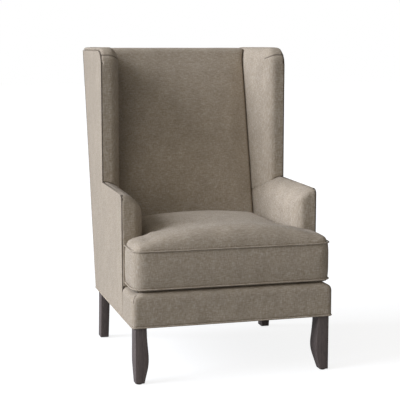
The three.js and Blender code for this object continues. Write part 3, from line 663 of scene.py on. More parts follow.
def placed(name: str, data: bpy.types.ID) -> bpy.types.Object:
    """Puts a new object with some data in the scene.

    Args:
        name: The object's name.
        data: Its mesh, lamp or camera.

    Returns:
        The object.
    """
    made = bpy.data.objects.new(name, data)
    bpy.context.scene.collection.objects.link(made)
    return made


def node_copy(name: str, nodes: Sequence[str]) -> bpy.types.Object:
    """Copies nodes of the frame into one new piece, with its doubles merged.

    Args:
        name: The piece's name.
        nodes: The nodes' names.

    Returns:
        The new piece.
    """
    parts = [placed(name, bpy.data.objects[node].data.copy()) for node in nodes]
    for part in parts:
        part.data.materials.clear()
    piece = Bench.join(name, parts)
    with Bench.editing(piece):
        bpy.ops.mesh.select_all(action="SELECT")
        bpy.ops.mesh.remove_doubles(threshold=0.01 * MM)
    return piece


def points_of(piece: bpy.types.Object) -> np.ndarray:
    """The piece's vertices.

    Args:
        piece: The piece.

    Returns:
        An array of rows x, y, z.
    """
    flat = np.empty(len(piece.data.vertices) * 3, np.float32)
    piece.data.vertices.foreach_get("co", flat)
    return flat.reshape(-1, 3).astype(float)


def normals_of(piece: bpy.types.Object) -> np.ndarray:
    """The normals at the piece's vertices.

    Args:
        piece: The piece.

    Returns:
        An array of rows x, y, z.
    """
    flat = np.empty(len(piece.data.vertices) * 3, np.float32)
    piece.data.vertices.foreach_get("normal", flat)
    return flat.reshape(-1, 3).astype(float)


def put_points(piece: bpy.types.Object, points: np.ndarray) -> None:
    """Moves the piece's vertices.

    Args:
        piece: The piece.
        points: Their new places.
    """
    piece.data.vertices.foreach_set("co", points.astype(np.float32).ravel())
    piece.data.update()


def ripple(points: np.ndarray, length: float, start: float = 0.0) -> np.ndarray:
    """Soft crossing waves, for the slight unevenness of stuffed cloth.

    Args:
        points: Where the waves are read.
        length: About how far one crest lies from the next.
        start: Shifts the waves, so that pieces differ.

    Returns:
        A value from 0 to 1 for each point.
    """
    total = np.zeros(len(points))
    count = 5
    for k in range(count):
        turn = 2.4 * k + start
        lift = 0.9 * math.sin(1.7 * k + start)
        way = np.array([math.cos(turn), math.sin(turn), lift]) / math.hypot(1, lift)
        stretch = length * (1 + 0.23 * k)
        total += np.sin(points @ way * (2 * math.pi / stretch) + 1.3 * k + start)
    return 0.5 + 0.5 * (total / count)


def eased(value: np.ndarray, low: float, high: float) -> np.ndarray:
    """Goes smoothly from 0 at one value to 1 at another.

    Args:
        value: Where it is read.
        low: Where it is 0.
        high: Where it is 1; it may be the smaller one.

    Returns:
        A share for each value.
    """
    share = np.clip((value - low) / (high - low), 0, 1)
    return share * share * (3 - 2 * share)


def set_in(value: np.ndarray, edge: float, span: Span) -> np.ndarray:
    """Goes smoothly from 0 at one distance from an edge to 1 at another.

    Args:
        value: Where it is read.
        edge: The edge's own value.
        span: The two distances, with the sign of their way from the edge.

    Returns:
        A share for each value.
    """
    return eased(value, edge + span[0], edge + span[1])


def bell(off: np.ndarray, width: float) -> np.ndarray:
    """The section of a groove or fold.

    Args:
        off: How far points lie from its line.
        width: Its half width.

    Returns:
        A share for each, 1 on the line and falling to nothing beside it.
    """
    return np.exp(-((off / width) ** 2))


def move_outwards(points: np.ndarray, way: np.ndarray) -> None:
    """Moves points away from the chair's middle, each to its own side.

    Args:
        points: The points, which it changes.
        way: How far, for each.
    """
    points[:, 0] += np.sign(points[:, 0]) * way


def dressed(
    piece: bpy.types.Object, finish: Finish, body: Body
) -> bpy.types.Object:
    """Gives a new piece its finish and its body.

    Args:
        piece: The piece.
        finish: Its finish.
        body: The body that it rides on.

    Returns:
        The same piece.
    """
    piece.data.materials.clear()
    piece.data.materials.append(finish.material())
    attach(piece, body.value)
    return piece


def report(piece: bpy.types.Object) -> bpy.types.Object:
    """Logs a finished piece.

    Args:
        piece: The piece.

    Returns:
        The same piece.
    """
    LOG.info("%s: %d faces", piece.name, len(piece.data.polygons))
    return piece


def refinish(node: bpy.types.Object, finish: Finish) -> None:
    """Gives a node that stays a better finish.

    Args:
        node: The node's object.
        finish: Its finish.
    """
    for place in node.material_slots:
        place.material = finish.material()


# Upholstery


@dataclass
class Padding:
    """One padded part: cloth drawn over foam, grown from the solids that it stands for."""

    name: str
    nodes: tuple[str, ...]
    voxel: float = 4 * MM
    fill: float = 0.85
    body: Body = Body.CHAIR
    finish: Finish = LINEN
    slot: Slot = Slot.COVER
    rounding: int = 5

    def build(self) -> bpy.types.Object:
        """Returns:
            The piece.
        """
        piece = self.fused()
        self.shape(piece)
        Bench.smooth(piece, 80)
        dressed(piece, self.finish, self.body)
        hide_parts(*self.nodes)
        return report(piece)

    def fused(self) -> bpy.types.Object:
        """Copies the solids, fuses them into one skin of even faces and softens its edges.

        Returns:
            The piece.
        """
        piece = node_copy(self.name, self.nodes)
        Bench.apply(piece, "REMESH", mode="VOXEL", voxel_size=self.voxel)
        self.soften(piece)
        return piece

    def soften(self, piece: bpy.types.Object) -> None:
        """Rounds all edges of the fused skin.

        Args:
            piece: The fused piece.
        """
        Bench.apply(piece, "SMOOTH", factor=0.5, iterations=self.rounding)

    @staticmethod
    def finer(piece: bpy.types.Object) -> None:
        """Divides a coarse skin once, smoothly, after its simulation.

        Args:
            piece: The piece.
        """
        Bench.apply(piece, "SUBSURF", levels=1, render_levels=1)

    def shape(self, piece: bpy.types.Object) -> None:
        """Adds the part's own swell, creases and seams; a plain pad has none.

        Args:
            piece: The fused piece.
        """

    @staticmethod
    def sink(piece: bpy.types.Object, depth: np.ndarray) -> None:
        """Moves each point inwards along its normal.

        Args:
            piece: The piece.
            depth: How far, for each point.
        """
        moved = points_of(piece) - normals_of(piece) * depth[:, None]
        put_points(piece, moved)

    @staticmethod
    def refine(piece: bpy.types.Object, near: Callable[[np.ndarray], np.ndarray]) -> None:
        """Divides the faces of one region, so that a seam can be drawn in it.

        Args:
            piece: The piece.
            near: Says for points which are in the region.
        """
        Bench.pick(piece, "VERT", near(points_of(piece)))
        with Bench.editing(piece):
            bpy.ops.mesh.subdivide(number_cuts=1, smoothness=0)

    @staticmethod
    def paint_seam_shade(piece: bpy.types.Object, shade: np.ndarray) -> None:
        """Writes how strongly painted shade darkens each point, along a seam's groove, a fold or a
        turned edge.

        Args:
            piece: The piece.
            shade: From 0 to 1 for each point.
        """
        layer = piece.data.attributes.new("seam", "FLOAT", "POINT")
        layer.data.foreach_set("value", shade.astype(np.float32))

    @staticmethod
    def swell(piece: bpy.types.Object, held: np.ndarray, cap: np.ndarray) -> None:
        """Inflates the piece as cloth, with some points held and each point's way capped.

        Args:
            piece: The piece.
            held: From 0, free, to 1, held, for each point.
            cap: The furthest that each point may move.
        """
        before = points_of(piece)
        group = piece.vertex_groups.new(name="held")
        for level in (0.5, 1.0):
            chosen = np.nonzero(held >= level)[0].tolist()
            if chosen:
                group.add(chosen, level, "REPLACE")
        Padding.inflate(piece, group.name)
        piece.vertex_groups.remove(piece.vertex_groups["held"])
        way = points_of(piece) - before
        length = np.linalg.norm(way, axis=1)
        share = np.minimum(1, cap / np.maximum(length, 1e-9))
        put_points(piece, before + way * share[:, None])

    @staticmethod
    def inflate(piece: bpy.types.Object, held: str) -> None:
        """Runs the cloth simulation under air pressure and keeps its last frame.

        Args:
            piece: The piece.
            held: The vertex group of the points that stay.
        """
        last_frame = 20
        Bench.take(piece)
        cloth = piece.modifiers.new("Cloth", "CLOTH")
        cloth.settings.quality = 4
        cloth.settings.mass = 0.3
        cloth.settings.tension_stiffness = 12
        cloth.settings.compression_stiffness = 12
        cloth.settings.shear_stiffness = 6
        cloth.settings.bending_stiffness = 0.5
        cloth.settings.use_pressure = True
        cloth.settings.uniform_pressure_force = 4
        cloth.settings.vertex_group_mass = held
        cloth.settings.effector_weights.gravity = 0
        cloth.point_cache.frame_start = 1
        cloth.point_cache.frame_end = last_frame
        for frame in range(1, last_frame + 1):
            bpy.context.scene.frame_set(frame)
        bpy.ops.object.modifier_apply(modifier=cloth.name)
        bpy.context.scene.frame_set(1)


@dataclass(frozen=True)
class Neck:
    """The upright corner where the cushion's neck meets the round inner front of an arm."""

    arm: tuple[float, float] = (50 * MM, 85 * MM)
    cushion: tuple[float, float] = (55 * MM, 87 * MM)
    middle: tuple[float, float] = (338 * MM, -220 * MM)
    fade: float = 1.9
    piping_level: float = 0.96
    # The pipings are led round as far out as this share, and taken up over this much.
    piping_reach: float = 1.2
    taking_up: float = 0.08

    def ways(self, points: np.ndarray, sizes: tuple[float, float]) -> np.ndarray:
        """How far points lie from the rounding's axis, as shares of an oval's half sizes.

        Args:
            points: The points.
            sizes: The oval's half sizes, across and along the chair.

        Returns:
            Shares towards the middle and the front, as two columns.
        """
        inward = (self.middle[0] - np.abs(points[:, 0])) / sizes[0]
        forward = (self.middle[1] - points[:, 1]) / sizes[1]
        return np.stack([inward, forward], axis=1)

    def scaled(self, points: np.ndarray, factor: np.ndarray) -> np.ndarray:
        """Scales points about the rounding's axis, level by level.

        Args:
            points: The points.
            factor: A factor for each.

        Returns:
            The moved points.
        """
        new = points.copy()
        inward = self.middle[0] - np.abs(points[:, 0])
        new[:, 0] = np.sign(points[:, 0]) * (self.middle[0] - inward * factor)
        new[:, 1] = self.middle[1] - (self.middle[1] - points[:, 1]) * factor
        return new

    def round_arm(self, points: np.ndarray) -> np.ndarray:
        """Draws an arm's inner front corner back to the oval.

        Args:
            points: The arm's points.

        Returns:
            The moved points.
        """
        ways = self.ways(points, self.arm)
        beyond = np.hypot(*ways.T)
        corner = (ways > 0).all(axis=1) & (beyond > 1)
        return self.scaled(points, np.where(corner, 1 / np.maximum(beyond, 1), 1.0))

    def fill_cushion(self, points: np.ndarray) -> np.ndarray:
        """Fills the cushion's neck out to the oval, less and less inside it.

        Args:
            points: The cushion's points.

        Returns:
            The moved points.
        """
        ways = self.ways(points, self.cushion)
        depth = np.maximum(ways.max(axis=1), 1.0)
        beyond = np.maximum(np.hypot(*ways.T), 1.0)
        corner = (ways > 0).all(axis=1) & (depth < self.fade)
        share = np.clip((self.fade - depth) / (self.fade - 1), 0, 1) ** 2
        factor = 1 - (1 / depth - 1 / beyond) * share
        return self.scaled(points, np.where(corner, factor, 1.0))

    def lead_piping(self, points: np.ndarray) -> np.ndarray:
        """Leads a piping round the neck on the oval, with its own thickness kept.

        Args:
            points: The piping's points.

        Returns:
            The moved points.
        """
        ways = self.ways(points, self.cushion)
        depth = ways.max(axis=1)
        beyond = np.maximum(np.hypot(*ways.T), 0.1)
        corner = (ways > 0).all(axis=1) & (depth < self.piping_reach)
        led = eased(beyond - depth, 0, self.taking_up)
        factor = 1 - led + led * (1 + depth - self.piping_level) / beyond
        return self.scaled(points, np.where(corner, factor, 1.0))


NECK = Neck()


@dataclass
class ArmPadding(Padding):
    """An arm: flat outside, scooped over to the inside, with slack down its rounded front."""

    side: Side = Side.RIGHT
    inner: float = 288 * MM
    front: float = -305 * MM
    roll: float = 10 * MM
    outer: float = 369 * MM
    lap: float = 2.6 * MM
    wave: float = 0.8 * MM
    wave_length: float = 95 * MM
    drag: float = 0.6 * MM
    drag_pitch: float = 27 * MM
    # The drags lean by this many radians in a metre of height.
    drag_lean: float = 9
    roll_inside: Span = (56 * MM, 12 * MM)
    roll_behind: Span = (20 * MM, 110 * MM)
    wrap_end: Span = (6 * MM, 16 * MM)
    lap_edge: Span = (-5 * MM, -1 * MM)
    wave_edge: Span = (0.0, -16 * MM)

    def shape(self, piece: bpy.types.Object) -> None:
        """Rounds the inner front, fills the roll over the inside and sinks soft waves.

        Args:
            piece: The fused piece.
        """
        points = points_of(piece)
        up = np.clip(normals_of(piece)[:, 2], 0, 1)
        over = set_in(np.abs(points[:, 0]), self.inner, self.roll_inside)
        behind = set_in(points[:, 1], self.front, self.roll_behind)
        points[:, 2] += self.roll * over * behind * up
        self.lap_over_panel(points, up)
        put_points(piece, NECK.round_arm(points))
        points = points_of(piece)
        facing = np.clip(-normals_of(piece)[:, 1], 0, 1)
        waves = ripple(points, self.wave_length, self.side.value)
        turns = points[:, 0] * 2 * math.pi / self.drag_pitch + points[:, 2] * self.drag_lean
        drags = 0.5 + 0.5 * np.sin(turns)
        loose = set_in(np.abs(points[:, 0]), self.outer, self.wave_edge)
        self.sink(piece, (self.wave * waves + self.drag * drags * facing) * loose)

    def lap_over_panel(self, points: np.ndarray, up: np.ndarray) -> None:
        """Draws the cloth in beside the outside panel, and its top edge over that panel.

        Args:
            points: The arm's points, which it changes.
            up: How far each faces up, 0 to 1.
        """
        wrap = set_in(points[:, 1], self.front, self.wrap_end)
        beyond = np.maximum(np.abs(points[:, 0]) - self.outer, 0)
        move_outwards(points, -beyond * wrap)
        edge = set_in(np.abs(points[:, 0]), self.outer, self.lap_edge)
        move_outwards(points, self.lap * (wrap * up * edge))


# How far a wing's inner face falls away under its top, and over what height.
SHOULDER = (25 * MM, 62 * MM)


def shoulder_inset(points: np.ndarray, top: float) -> np.ndarray:
    """How far a wing's inner face lies back from its plane, near the top.

    Args:
        points: The points.
        top: The wing's top.

    Returns:
        A length for each point, 0 below the rounding.
    """
    share = np.clip((points[:, 2] - (top - SHOULDER[1])) / SHOULDER[1], 0, 1)
    return SHOULDER[0] * (1 - np.sqrt(1 - share**2))


@dataclass
class WingPadding(Padding):
    """A wing: bull-nosed front with a cap seam near its top."""

    side: Side = Side.RIGHT
    inner: float = 288 * MM
    outer: float = 381 * MM
    front: float = 67.3 * MM
    nose: float = 40 * MM
    top: float = 1198 * MM
    arch: float = 3 * MM
    seam_height: float = 1170 * MM
    seam_drop: float = 16 * MM
    seam_width: float = 2.2 * MM
    seam_depth: float = 1.1 * MM
    # The nose, as a share of the wing's width from the inside, that the seam leaves free.
    seam_start: float = 0.18
    pull: float = 0.8 * MM
    wave: float = 0.8 * MM
    wave_length: float = 110 * MM

    def shape(self, piece: bpy.types.Object) -> None:
        """Arches the top, rounds its inner edge and sinks the cap seam across the nose, with painted
        shade in its groove.

        Args:
            piece: The fused piece.
        """
        points = points_of(piece)
        middle = (self.inner + self.outer) / 2
        half = (self.outer - self.inner) / 2
        crest = np.clip(1 - ((np.abs(points[:, 0]) - middle) / half) ** 2, 0, 1)
        near = np.clip(1 - (np.abs(points[:, 0]) - self.inner) / (1.9 * SHOULDER[0]), 0, 1)
        move_outwards(points, shoulder_inset(points, self.top) * near)
        points[:, 2] += self.arch * crest * eased(points[:, 2], self.seam_height, self.top)
        put_points(piece, points)
        self.refine(piece, lambda points: self.from_seam(points) < 12 * MM)
        points = points_of(piece)
        waves = ripple(points, self.wave_length, 2 * self.side.value)
        off = self.from_seam(points)
        groove = bell(off, self.seam_width)
        drawn = bell(off, 4 * self.seam_width)
        self.sink(piece, self.wave * waves + self.seam_depth * groove + self.pull * drawn)
        # Painted shade along the cap seam's groove.
        self.paint_seam_shade(piece, 0.85 * groove)

    def from_seam(self, points: np.ndarray) -> np.ndarray:
        """How far points lie from the cap seam.

        Args:
            points: The points.

        Returns:
            A distance for each, large away from the nose.
        """
        share = (np.abs(points[:, 0]) - self.inner) / (self.outer - self.inner)
        bend = np.clip(1 - (share - self.seam_start) / 0.5, 0, 1) ** 2
        height = self.seam_height - self.seam_drop * bend
        off = np.abs(points[:, 2] - height)
        outside = (points[:, 1] > self.front + self.nose) | (share < self.seam_start)
        return np.where(outside, 1.0, off)


@dataclass
class BackPadding(Padding):
    """The inside back: a leaning pad, tight at its borders and crowned over its middle."""

    half_width: float = 288 * MM
    seat_level: float = 545 * MM
    top: float = 1198 * MM
    follow: float = 0.9
    crown_room: float = 3.5 * MM
    wave: float = 1.0 * MM
    wave_length: float = 150 * MM
    spread_edge: Span = (-40 * MM, -4 * MM)
    # How far the front is held beside the wings, above the seat and under the top's padding.
    held_beside: float = 70 * MM
    held_above_seat: float = 80 * MM
    top_padding: float = 40 * MM
    held_under_top: float = 60 * MM

    def shape(self, piece: bpy.types.Object) -> None:
        """Inflates the open front, spreads the top corners over the wings and sinks soft waves.

        Args:
            piece: The fused piece.
        """
        points = points_of(piece)
        open_face = self.open_face(piece, points)
        self.swell(piece, np.where(open_face > 0.02, 0.0, 1.0), self.crown_room * open_face)
        self.finer(piece)
        points = points_of(piece)
        beside = set_in(np.abs(points[:, 0]), self.half_width, self.spread_edge)
        move_outwards(points, self.follow * shoulder_inset(points, self.top) * beside)
        put_points(piece, points)
        self.sink(piece, self.wave * ripple(points, self.wave_length, 0.7))

    def open_face(self, piece: bpy.types.Object, points: np.ndarray) -> np.ndarray:
        """How freely each point of the front can move.

        Args:
            piece: The piece.
            points: Its points.

        Returns:
            From 0 at the borders and the hidden sides to 1 in the middle of the front.
        """
        across = np.clip((self.half_width - np.abs(points[:, 0])) / self.held_beside, 0, 1)
        up = np.clip((points[:, 2] - self.seat_level) / self.held_above_seat, 0, 1)
        under_top = self.top - self.top_padding - points[:, 2]
        down = np.clip(under_top / self.held_under_top, 0, 1)
        facing = -normals_of(piece)[:, 1] > 0.6
        return across * up * down * facing


@dataclass
class BorderPadding(Padding):
    """The front border under the cushion, with a pleat folded into each top corner."""

    side_x: float = 381 * MM
    front: float = -483 * MM
    top: float = 326.8 * MM
    corner: float = 18 * MM
    pleat_reach: float = 26 * MM
    pleat_width: float = 2.4 * MM
    pleat_depth: float = 1.5 * MM
    bottom: float = 214.3 * MM
    roll: float = 9 * MM
    wave: float = 1.2 * MM
    wave_length: float = 85 * MM
    square_edge: Span = (4 * MM, 16 * MM)
    roll_below: Span = (-34 * MM, -4 * MM)
    roll_front: Span = (56 * MM, 30 * MM)
    roll_sides: Span = (-8 * MM, -44 * MM)

    def soften(self, piece: bpy.types.Object) -> None:
        """Rounds the edges, with the lower one kept square where the piping meets it.

        Args:
            piece: The fused piece.
        """
        before = points_of(piece)
        super().soften(piece)
        free = set_in(before[:, 2], self.bottom, self.square_edge)[:, None]
        put_points(piece, before + (points_of(piece) - before) * free)

    def shape(self, piece: bpy.types.Object) -> None:
        """Puffs the roll under the cushion, sinks soft waves and folds the corner pleats, with painted
        shade along each fold.

        Args:
            piece: The fused piece.
        """
        points = points_of(piece)
        lowest = points[:, 2] < self.bottom + 3 * MM
        points[:, 2] = np.where(lowest, self.bottom - 0.8 * MM, points[:, 2])
        high = set_in(points[:, 2], self.top, self.roll_below)
        near = set_in(points[:, 1], self.front, self.roll_front)
        inside = set_in(np.abs(points[:, 0]), self.side_x, self.roll_sides)
        points[:, 2] += self.roll * high * near * inside
        put_points(piece, points)
        self.refine(piece, lambda points: self.from_pleat(points) < 9 * MM)
        points = points_of(piece)
        facing = np.clip(-normals_of(piece)[:, 1], 0, 1)
        waves = ripple(points, self.wave_length, 4.1)
        fold = bell(self.from_pleat(points), self.pleat_width)
        self.sink(piece, self.wave * waves * facing + self.pleat_depth * fold)
        # Painted shade along the pleats' folds.
        self.paint_seam_shade(piece, 0.6 * fold)

    def from_pleat(self, points: np.ndarray) -> np.ndarray:
        """How far points lie from the fold at the nearer corner.

        Args:
            points: The points.

        Returns:
            A distance for each, large below the fold's end.
        """
        over_x = np.abs(points[:, 0]) - (self.side_x - self.corner)
        over_y = (self.front + self.corner) - points[:, 1]
        off = np.abs(over_x - over_y) / math.sqrt(2)
        outside = (points[:, 2] < self.top - self.pleat_reach) | (over_x + over_y < -6 * MM)
        return np.where(outside, 1.0, off)


@dataclass
class CushionPadding(Padding):
    """The loose seat cushion: crowned top, boxed sides that swell between two pipings."""

    top_welt: float = 484.3 * MM
    bottom_welt: float = 347.6 * MM
    wall_room: float = 2.5 * MM
    crown_room: float = 5 * MM
    tucked_room: float = 1.2 * MM
    ear_back: float = -305 * MM
    front: float = -484 * MM
    ear_half: float = 378 * MM
    stem_half: float = 283 * MM
    rear: float = 150 * MM
    shoulder: float = 9 * MM
    shoulder_reach: float = 34 * MM
    ear_rise: float = 6 * MM
    evening: int = 70
    underside: float = 329.5 * MM
    under_reach: float = 46 * MM
    groove_width: float = 2.6 * MM
    groove_depth: float = 1.6 * MM
    wave: float = 2.2 * MM
    wave_length: float = 165 * MM
    crown_edge: Span = (1 * MM, 8 * MM)
    # The ears rise from this far beside the stem to this far from their own sides.
    ear_ramp: Span = (12 * MM, 30 * MM)
    rim_drop: float = 4 * MM
    under_start: float = 6 * MM

    def shape(self, piece: bpy.types.Object) -> None:
        """Inflates the cushion between its pipings and draws it in along them.

        Args:
            piece: The fused piece.
        """
        points = points_of(piece)
        upright = np.abs(normals_of(piece)[:, 2]) < 0.75
        held = np.where((self.from_welt(points) < 4 * MM) & upright, 1.0, 0.0)
        held[points[:, 2] < self.bottom_welt] = 1.0
        self.swell(piece, held, self.room(points, normals_of(piece)))
        self.finer(piece)
        self.even_crown(piece)
        self.fill_out(piece)
        self.refine(piece, lambda p: np.abs(p[:, 2] - self.top_welt) < 9 * MM)
        points = points_of(piece)
        upright = np.clip(1.4 - np.abs(normals_of(piece)[:, 2]), 0, 1)
        groove = bell(self.from_welt(points), self.groove_width) * upright
        waves = ripple(points, self.wave_length, 2.2)
        on_top = np.clip(normals_of(piece)[:, 2], 0, 1)
        self.sink(piece, self.groove_depth * groove + self.wave * waves * on_top)

    def from_welt(self, points: np.ndarray) -> np.ndarray:
        """How far points lie above or below the nearer piping.

        Args:
            points: The points.

        Returns:
            A distance for each.
        """
        heights = points[:, 2]
        return np.minimum(np.abs(heights - self.top_welt), np.abs(heights - self.bottom_welt))

    def inset(self, points: np.ndarray) -> np.ndarray:
        """How far points lie inside the cushion's T-shaped plan.

        Args:
            points: The points.

        Returns:
            A distance from the nearest side for each.
        """
        x, y = np.abs(points[:, 0]), points[:, 1]
        in_ear = np.minimum(self.ear_half - x, self.ear_back - y)
        beside = np.hypot(self.stem_half - x, np.maximum(self.ear_back - y, 0))
        off_side = np.where(x > self.stem_half, in_ear, beside)
        ends = np.minimum(y - self.front, self.rear - y)
        return np.clip(np.minimum(ends, off_side), 0, None)

    def even_crown(self, piece: bpy.types.Object) -> None:
        """Smooths the crown until no line of its dome shows.

        Args:
            piece: The swollen piece.
        """
        group = piece.vertex_groups.new(name="crown")
        high = points_of(piece)[:, 2] > self.top_welt + 7 * MM
        group.add(np.nonzero(high)[0].tolist(), 1.0, "REPLACE")
        settings = {"factor": 0.5, "iterations": self.evening, "vertex_group": group.name}
        Bench.apply(piece, "SMOOTH", **settings)
        piece.vertex_groups.remove(piece.vertex_groups["crown"])

    def fill_out(self, piece: bpy.types.Object) -> None:
        """Rounds the shoulders above the piping and lifts the underside's rim behind it.

        Args:
            piece: The swollen piece.
        """
        points = points_of(piece)
        inset = self.inset(points)
        share = inset / self.shoulder_reach
        above = set_in(points[:, 2], self.top_welt, self.crown_edge)
        points[:, 2] += self.shoulder * share * np.exp(1 - share) * above
        low, high = self.stem_half + self.ear_ramp[0], self.ear_half - self.ear_ramp[1]
        out = eased(np.abs(points[:, 0]), low, high)
        points[:, 2] += self.ear_rise * out * np.sqrt(np.clip(share, 0, 1)) * above
        rim = self.bottom_welt - self.rim_drop
        inner = eased(inset, self.under_start, self.under_reach)
        lowest = rim + (self.underside - rim) * inner
        forward = points[:, 1] < self.ear_back
        under = forward & (points[:, 2] < rim)
        points[:, 2] = np.where(under, np.maximum(points[:, 2], lowest), points[:, 2])
        put_points(piece, NECK.fill_cushion(points))

    def room(self, points: np.ndarray, normals: np.ndarray) -> np.ndarray:
        """How far each point may swell before it meets a neighbour.

        Args:
            points: The cushion's points.
            normals: Their normals.

        Returns:
            A length for each point.
        """
        above = points[:, 2] > self.top_welt + 4 * MM
        beside_arm = (points[:, 1] > self.ear_back - 12 * MM) & ~above
        room = np.where(above, self.crown_room * np.clip(normals[:, 2], 0.1, 1), self.wall_room)
        return np.where(beside_arm, self.tucked_room, room)


@dataclass
class Panel:
    """An outside field of cloth drawn flat over a board, its edges turned in at the seams."""

    name: str
    node: str
    on_side: bool = False
    edge: float = 2.6 * MM
    bottom: float = 214.3 * MM
    # How dark the painted shade on the turned edges is, at most.
    shade: float = 0.85
    tuck: float = 1.4 * MM
    arm_top: float = 700 * MM

    def build(self) -> bpy.types.Object:
        """Copies the board's outline, turns its edges in and dresses it.

        Returns:
            The panel.
        """
        piece = node_copy(self.name, (self.node,))
        self.turn_edges(piece)
        self.paint_edge_shade_and_tuck(piece)
        Bench.smooth(piece)
        dressed(piece, LINEN, Body.CHAIR)
        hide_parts(self.node)
        return report(piece)

    def turn_edges(self, piece: bpy.types.Object) -> None:
        """Rounds the board's rim, except along the base, where the piping runs.

        Args:
            piece: The copied board.
        """
        with Bench.editing(piece):
            bpy.ops.mesh.select_all(action="SELECT")
            bpy.ops.mesh.dissolve_limited(angle_limit=math.radians(0.5))
            bpy.ops.mesh.select_all(action="DESELECT")
            bpy.ops.mesh.edges_select_sharp(sharpness=math.radians(50))
        sharp = np.zeros(len(piece.data.edges), bool)
        piece.data.edges.foreach_get("select", sharp)
        heights = points_of(piece)[:, 2]
        ends = np.array([edge.vertices[:] for edge in piece.data.edges])
        lowest = heights[ends].max(axis=1) < self.bottom + 1 * MM
        Bench.pick(piece, "EDGE", sharp & ~lowest)
        with Bench.editing(piece):
            bpy.ops.mesh.bevel(offset=self.edge, segments=3, profile=0.5)

    def paint_edge_shade_and_tuck(self, piece: bpy.types.Object) -> None:
        """Lays painted shade on the turned edges, on a side panel only where they face forward, and
        tucks a side panel under the wing's top.

        Args:
            piece: The panel with its rounded rim.
        """
        broadest = max(piece.data.polygons, key=lambda face: face.area)
        points, normals = points_of(piece), normals_of(piece)
        turned = 1 - np.abs(normals @ np.array(broadest.normal))
        shown = points[:, 2] > self.bottom + 1 * MM
        if self.on_side:
            shown &= normals[:, 1] < -0.1
            on_wing = points[:, 2] > self.arm_top
            points[:, 2] -= self.tuck * ((normals[:, 2] > 0.1) & on_wing)
            put_points(piece, points)
        # Painted shade on the turned edges, darker the further they turn from the face; none along the
        # base.
        Padding.paint_seam_shade(piece, self.shade * eased(turned, 0.05, 0.2) * shown)


@dataclass
class Piping:
    """Cord wrapped in the cover cloth and sewn into a seam."""

    name: str
    node: str
    body: Body
    lost: float = 0.32 * MM
    necked: bool = False

    def build(self) -> bpy.types.Object:
        """Rounds the cord and dresses it.

        Returns:
            The piping.
        """
        piece = node_copy(self.name, (self.node,))
        Bench.apply(piece, "SUBSURF", levels=2, render_levels=2)
        Padding.sink(piece, np.full(len(piece.data.vertices), -self.lost))
        if self.necked:
            put_points(piece, NECK.lead_piping(points_of(piece)))
        Bench.smooth(piece, 80)
        dressed(piece, LINEN, self.body)
        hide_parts(self.node)
        return report(piece)


@dataclass
class DeckPadding(Padding):
    """The pad that the cushion lies on: lining cloth, with a lip of the cover sewn along its front."""

    finish: Finish = DECK_LINING
    seam_y: float = -352 * MM
    seam_width: float = 2.4 * MM
    seam_depth: float = 1.6 * MM
    pull: float = 1.2 * MM
    wave: float = 1.5 * MM
    wave_length: float = 120 * MM

    def build(self) -> bpy.types.Object:
        """Makes the pad and gives the lip the cover's cloth.

        Returns:
            The pad.
        """
        piece = super().build()
        piece.data.materials.append(LINEN.material())
        for face in piece.data.polygons:
            face.material_index = int(face.center.y < self.seam_y)
        return piece

    def shape(self, piece: bpy.types.Object) -> None:
        """Sinks soft waves and the seam between lining and lip, with painted shade in its groove.

        Args:
            piece: The fused piece.
        """
        put_points(piece, NECK.fill_cushion(points_of(piece)))
        self.refine(piece, lambda points: np.abs(points[:, 1] - self.seam_y) < 14 * MM)
        points = points_of(piece)
        off = np.abs(points[:, 1] - self.seam_y)
        groove = bell(off, self.seam_width)
        drawn = bell(off, 5 * self.seam_width)
        waves = ripple(points, self.wave_length, 3.3)
        upward = np.clip(normals_of(piece)[:, 2], 0, 1)
        depth = self.wave * waves + self.seam_depth * groove + self.pull * drawn
        self.sink(piece, depth * upward)
        # Painted shade along the seam's groove.
        self.paint_seam_shade(piece, 0.7 * groove)


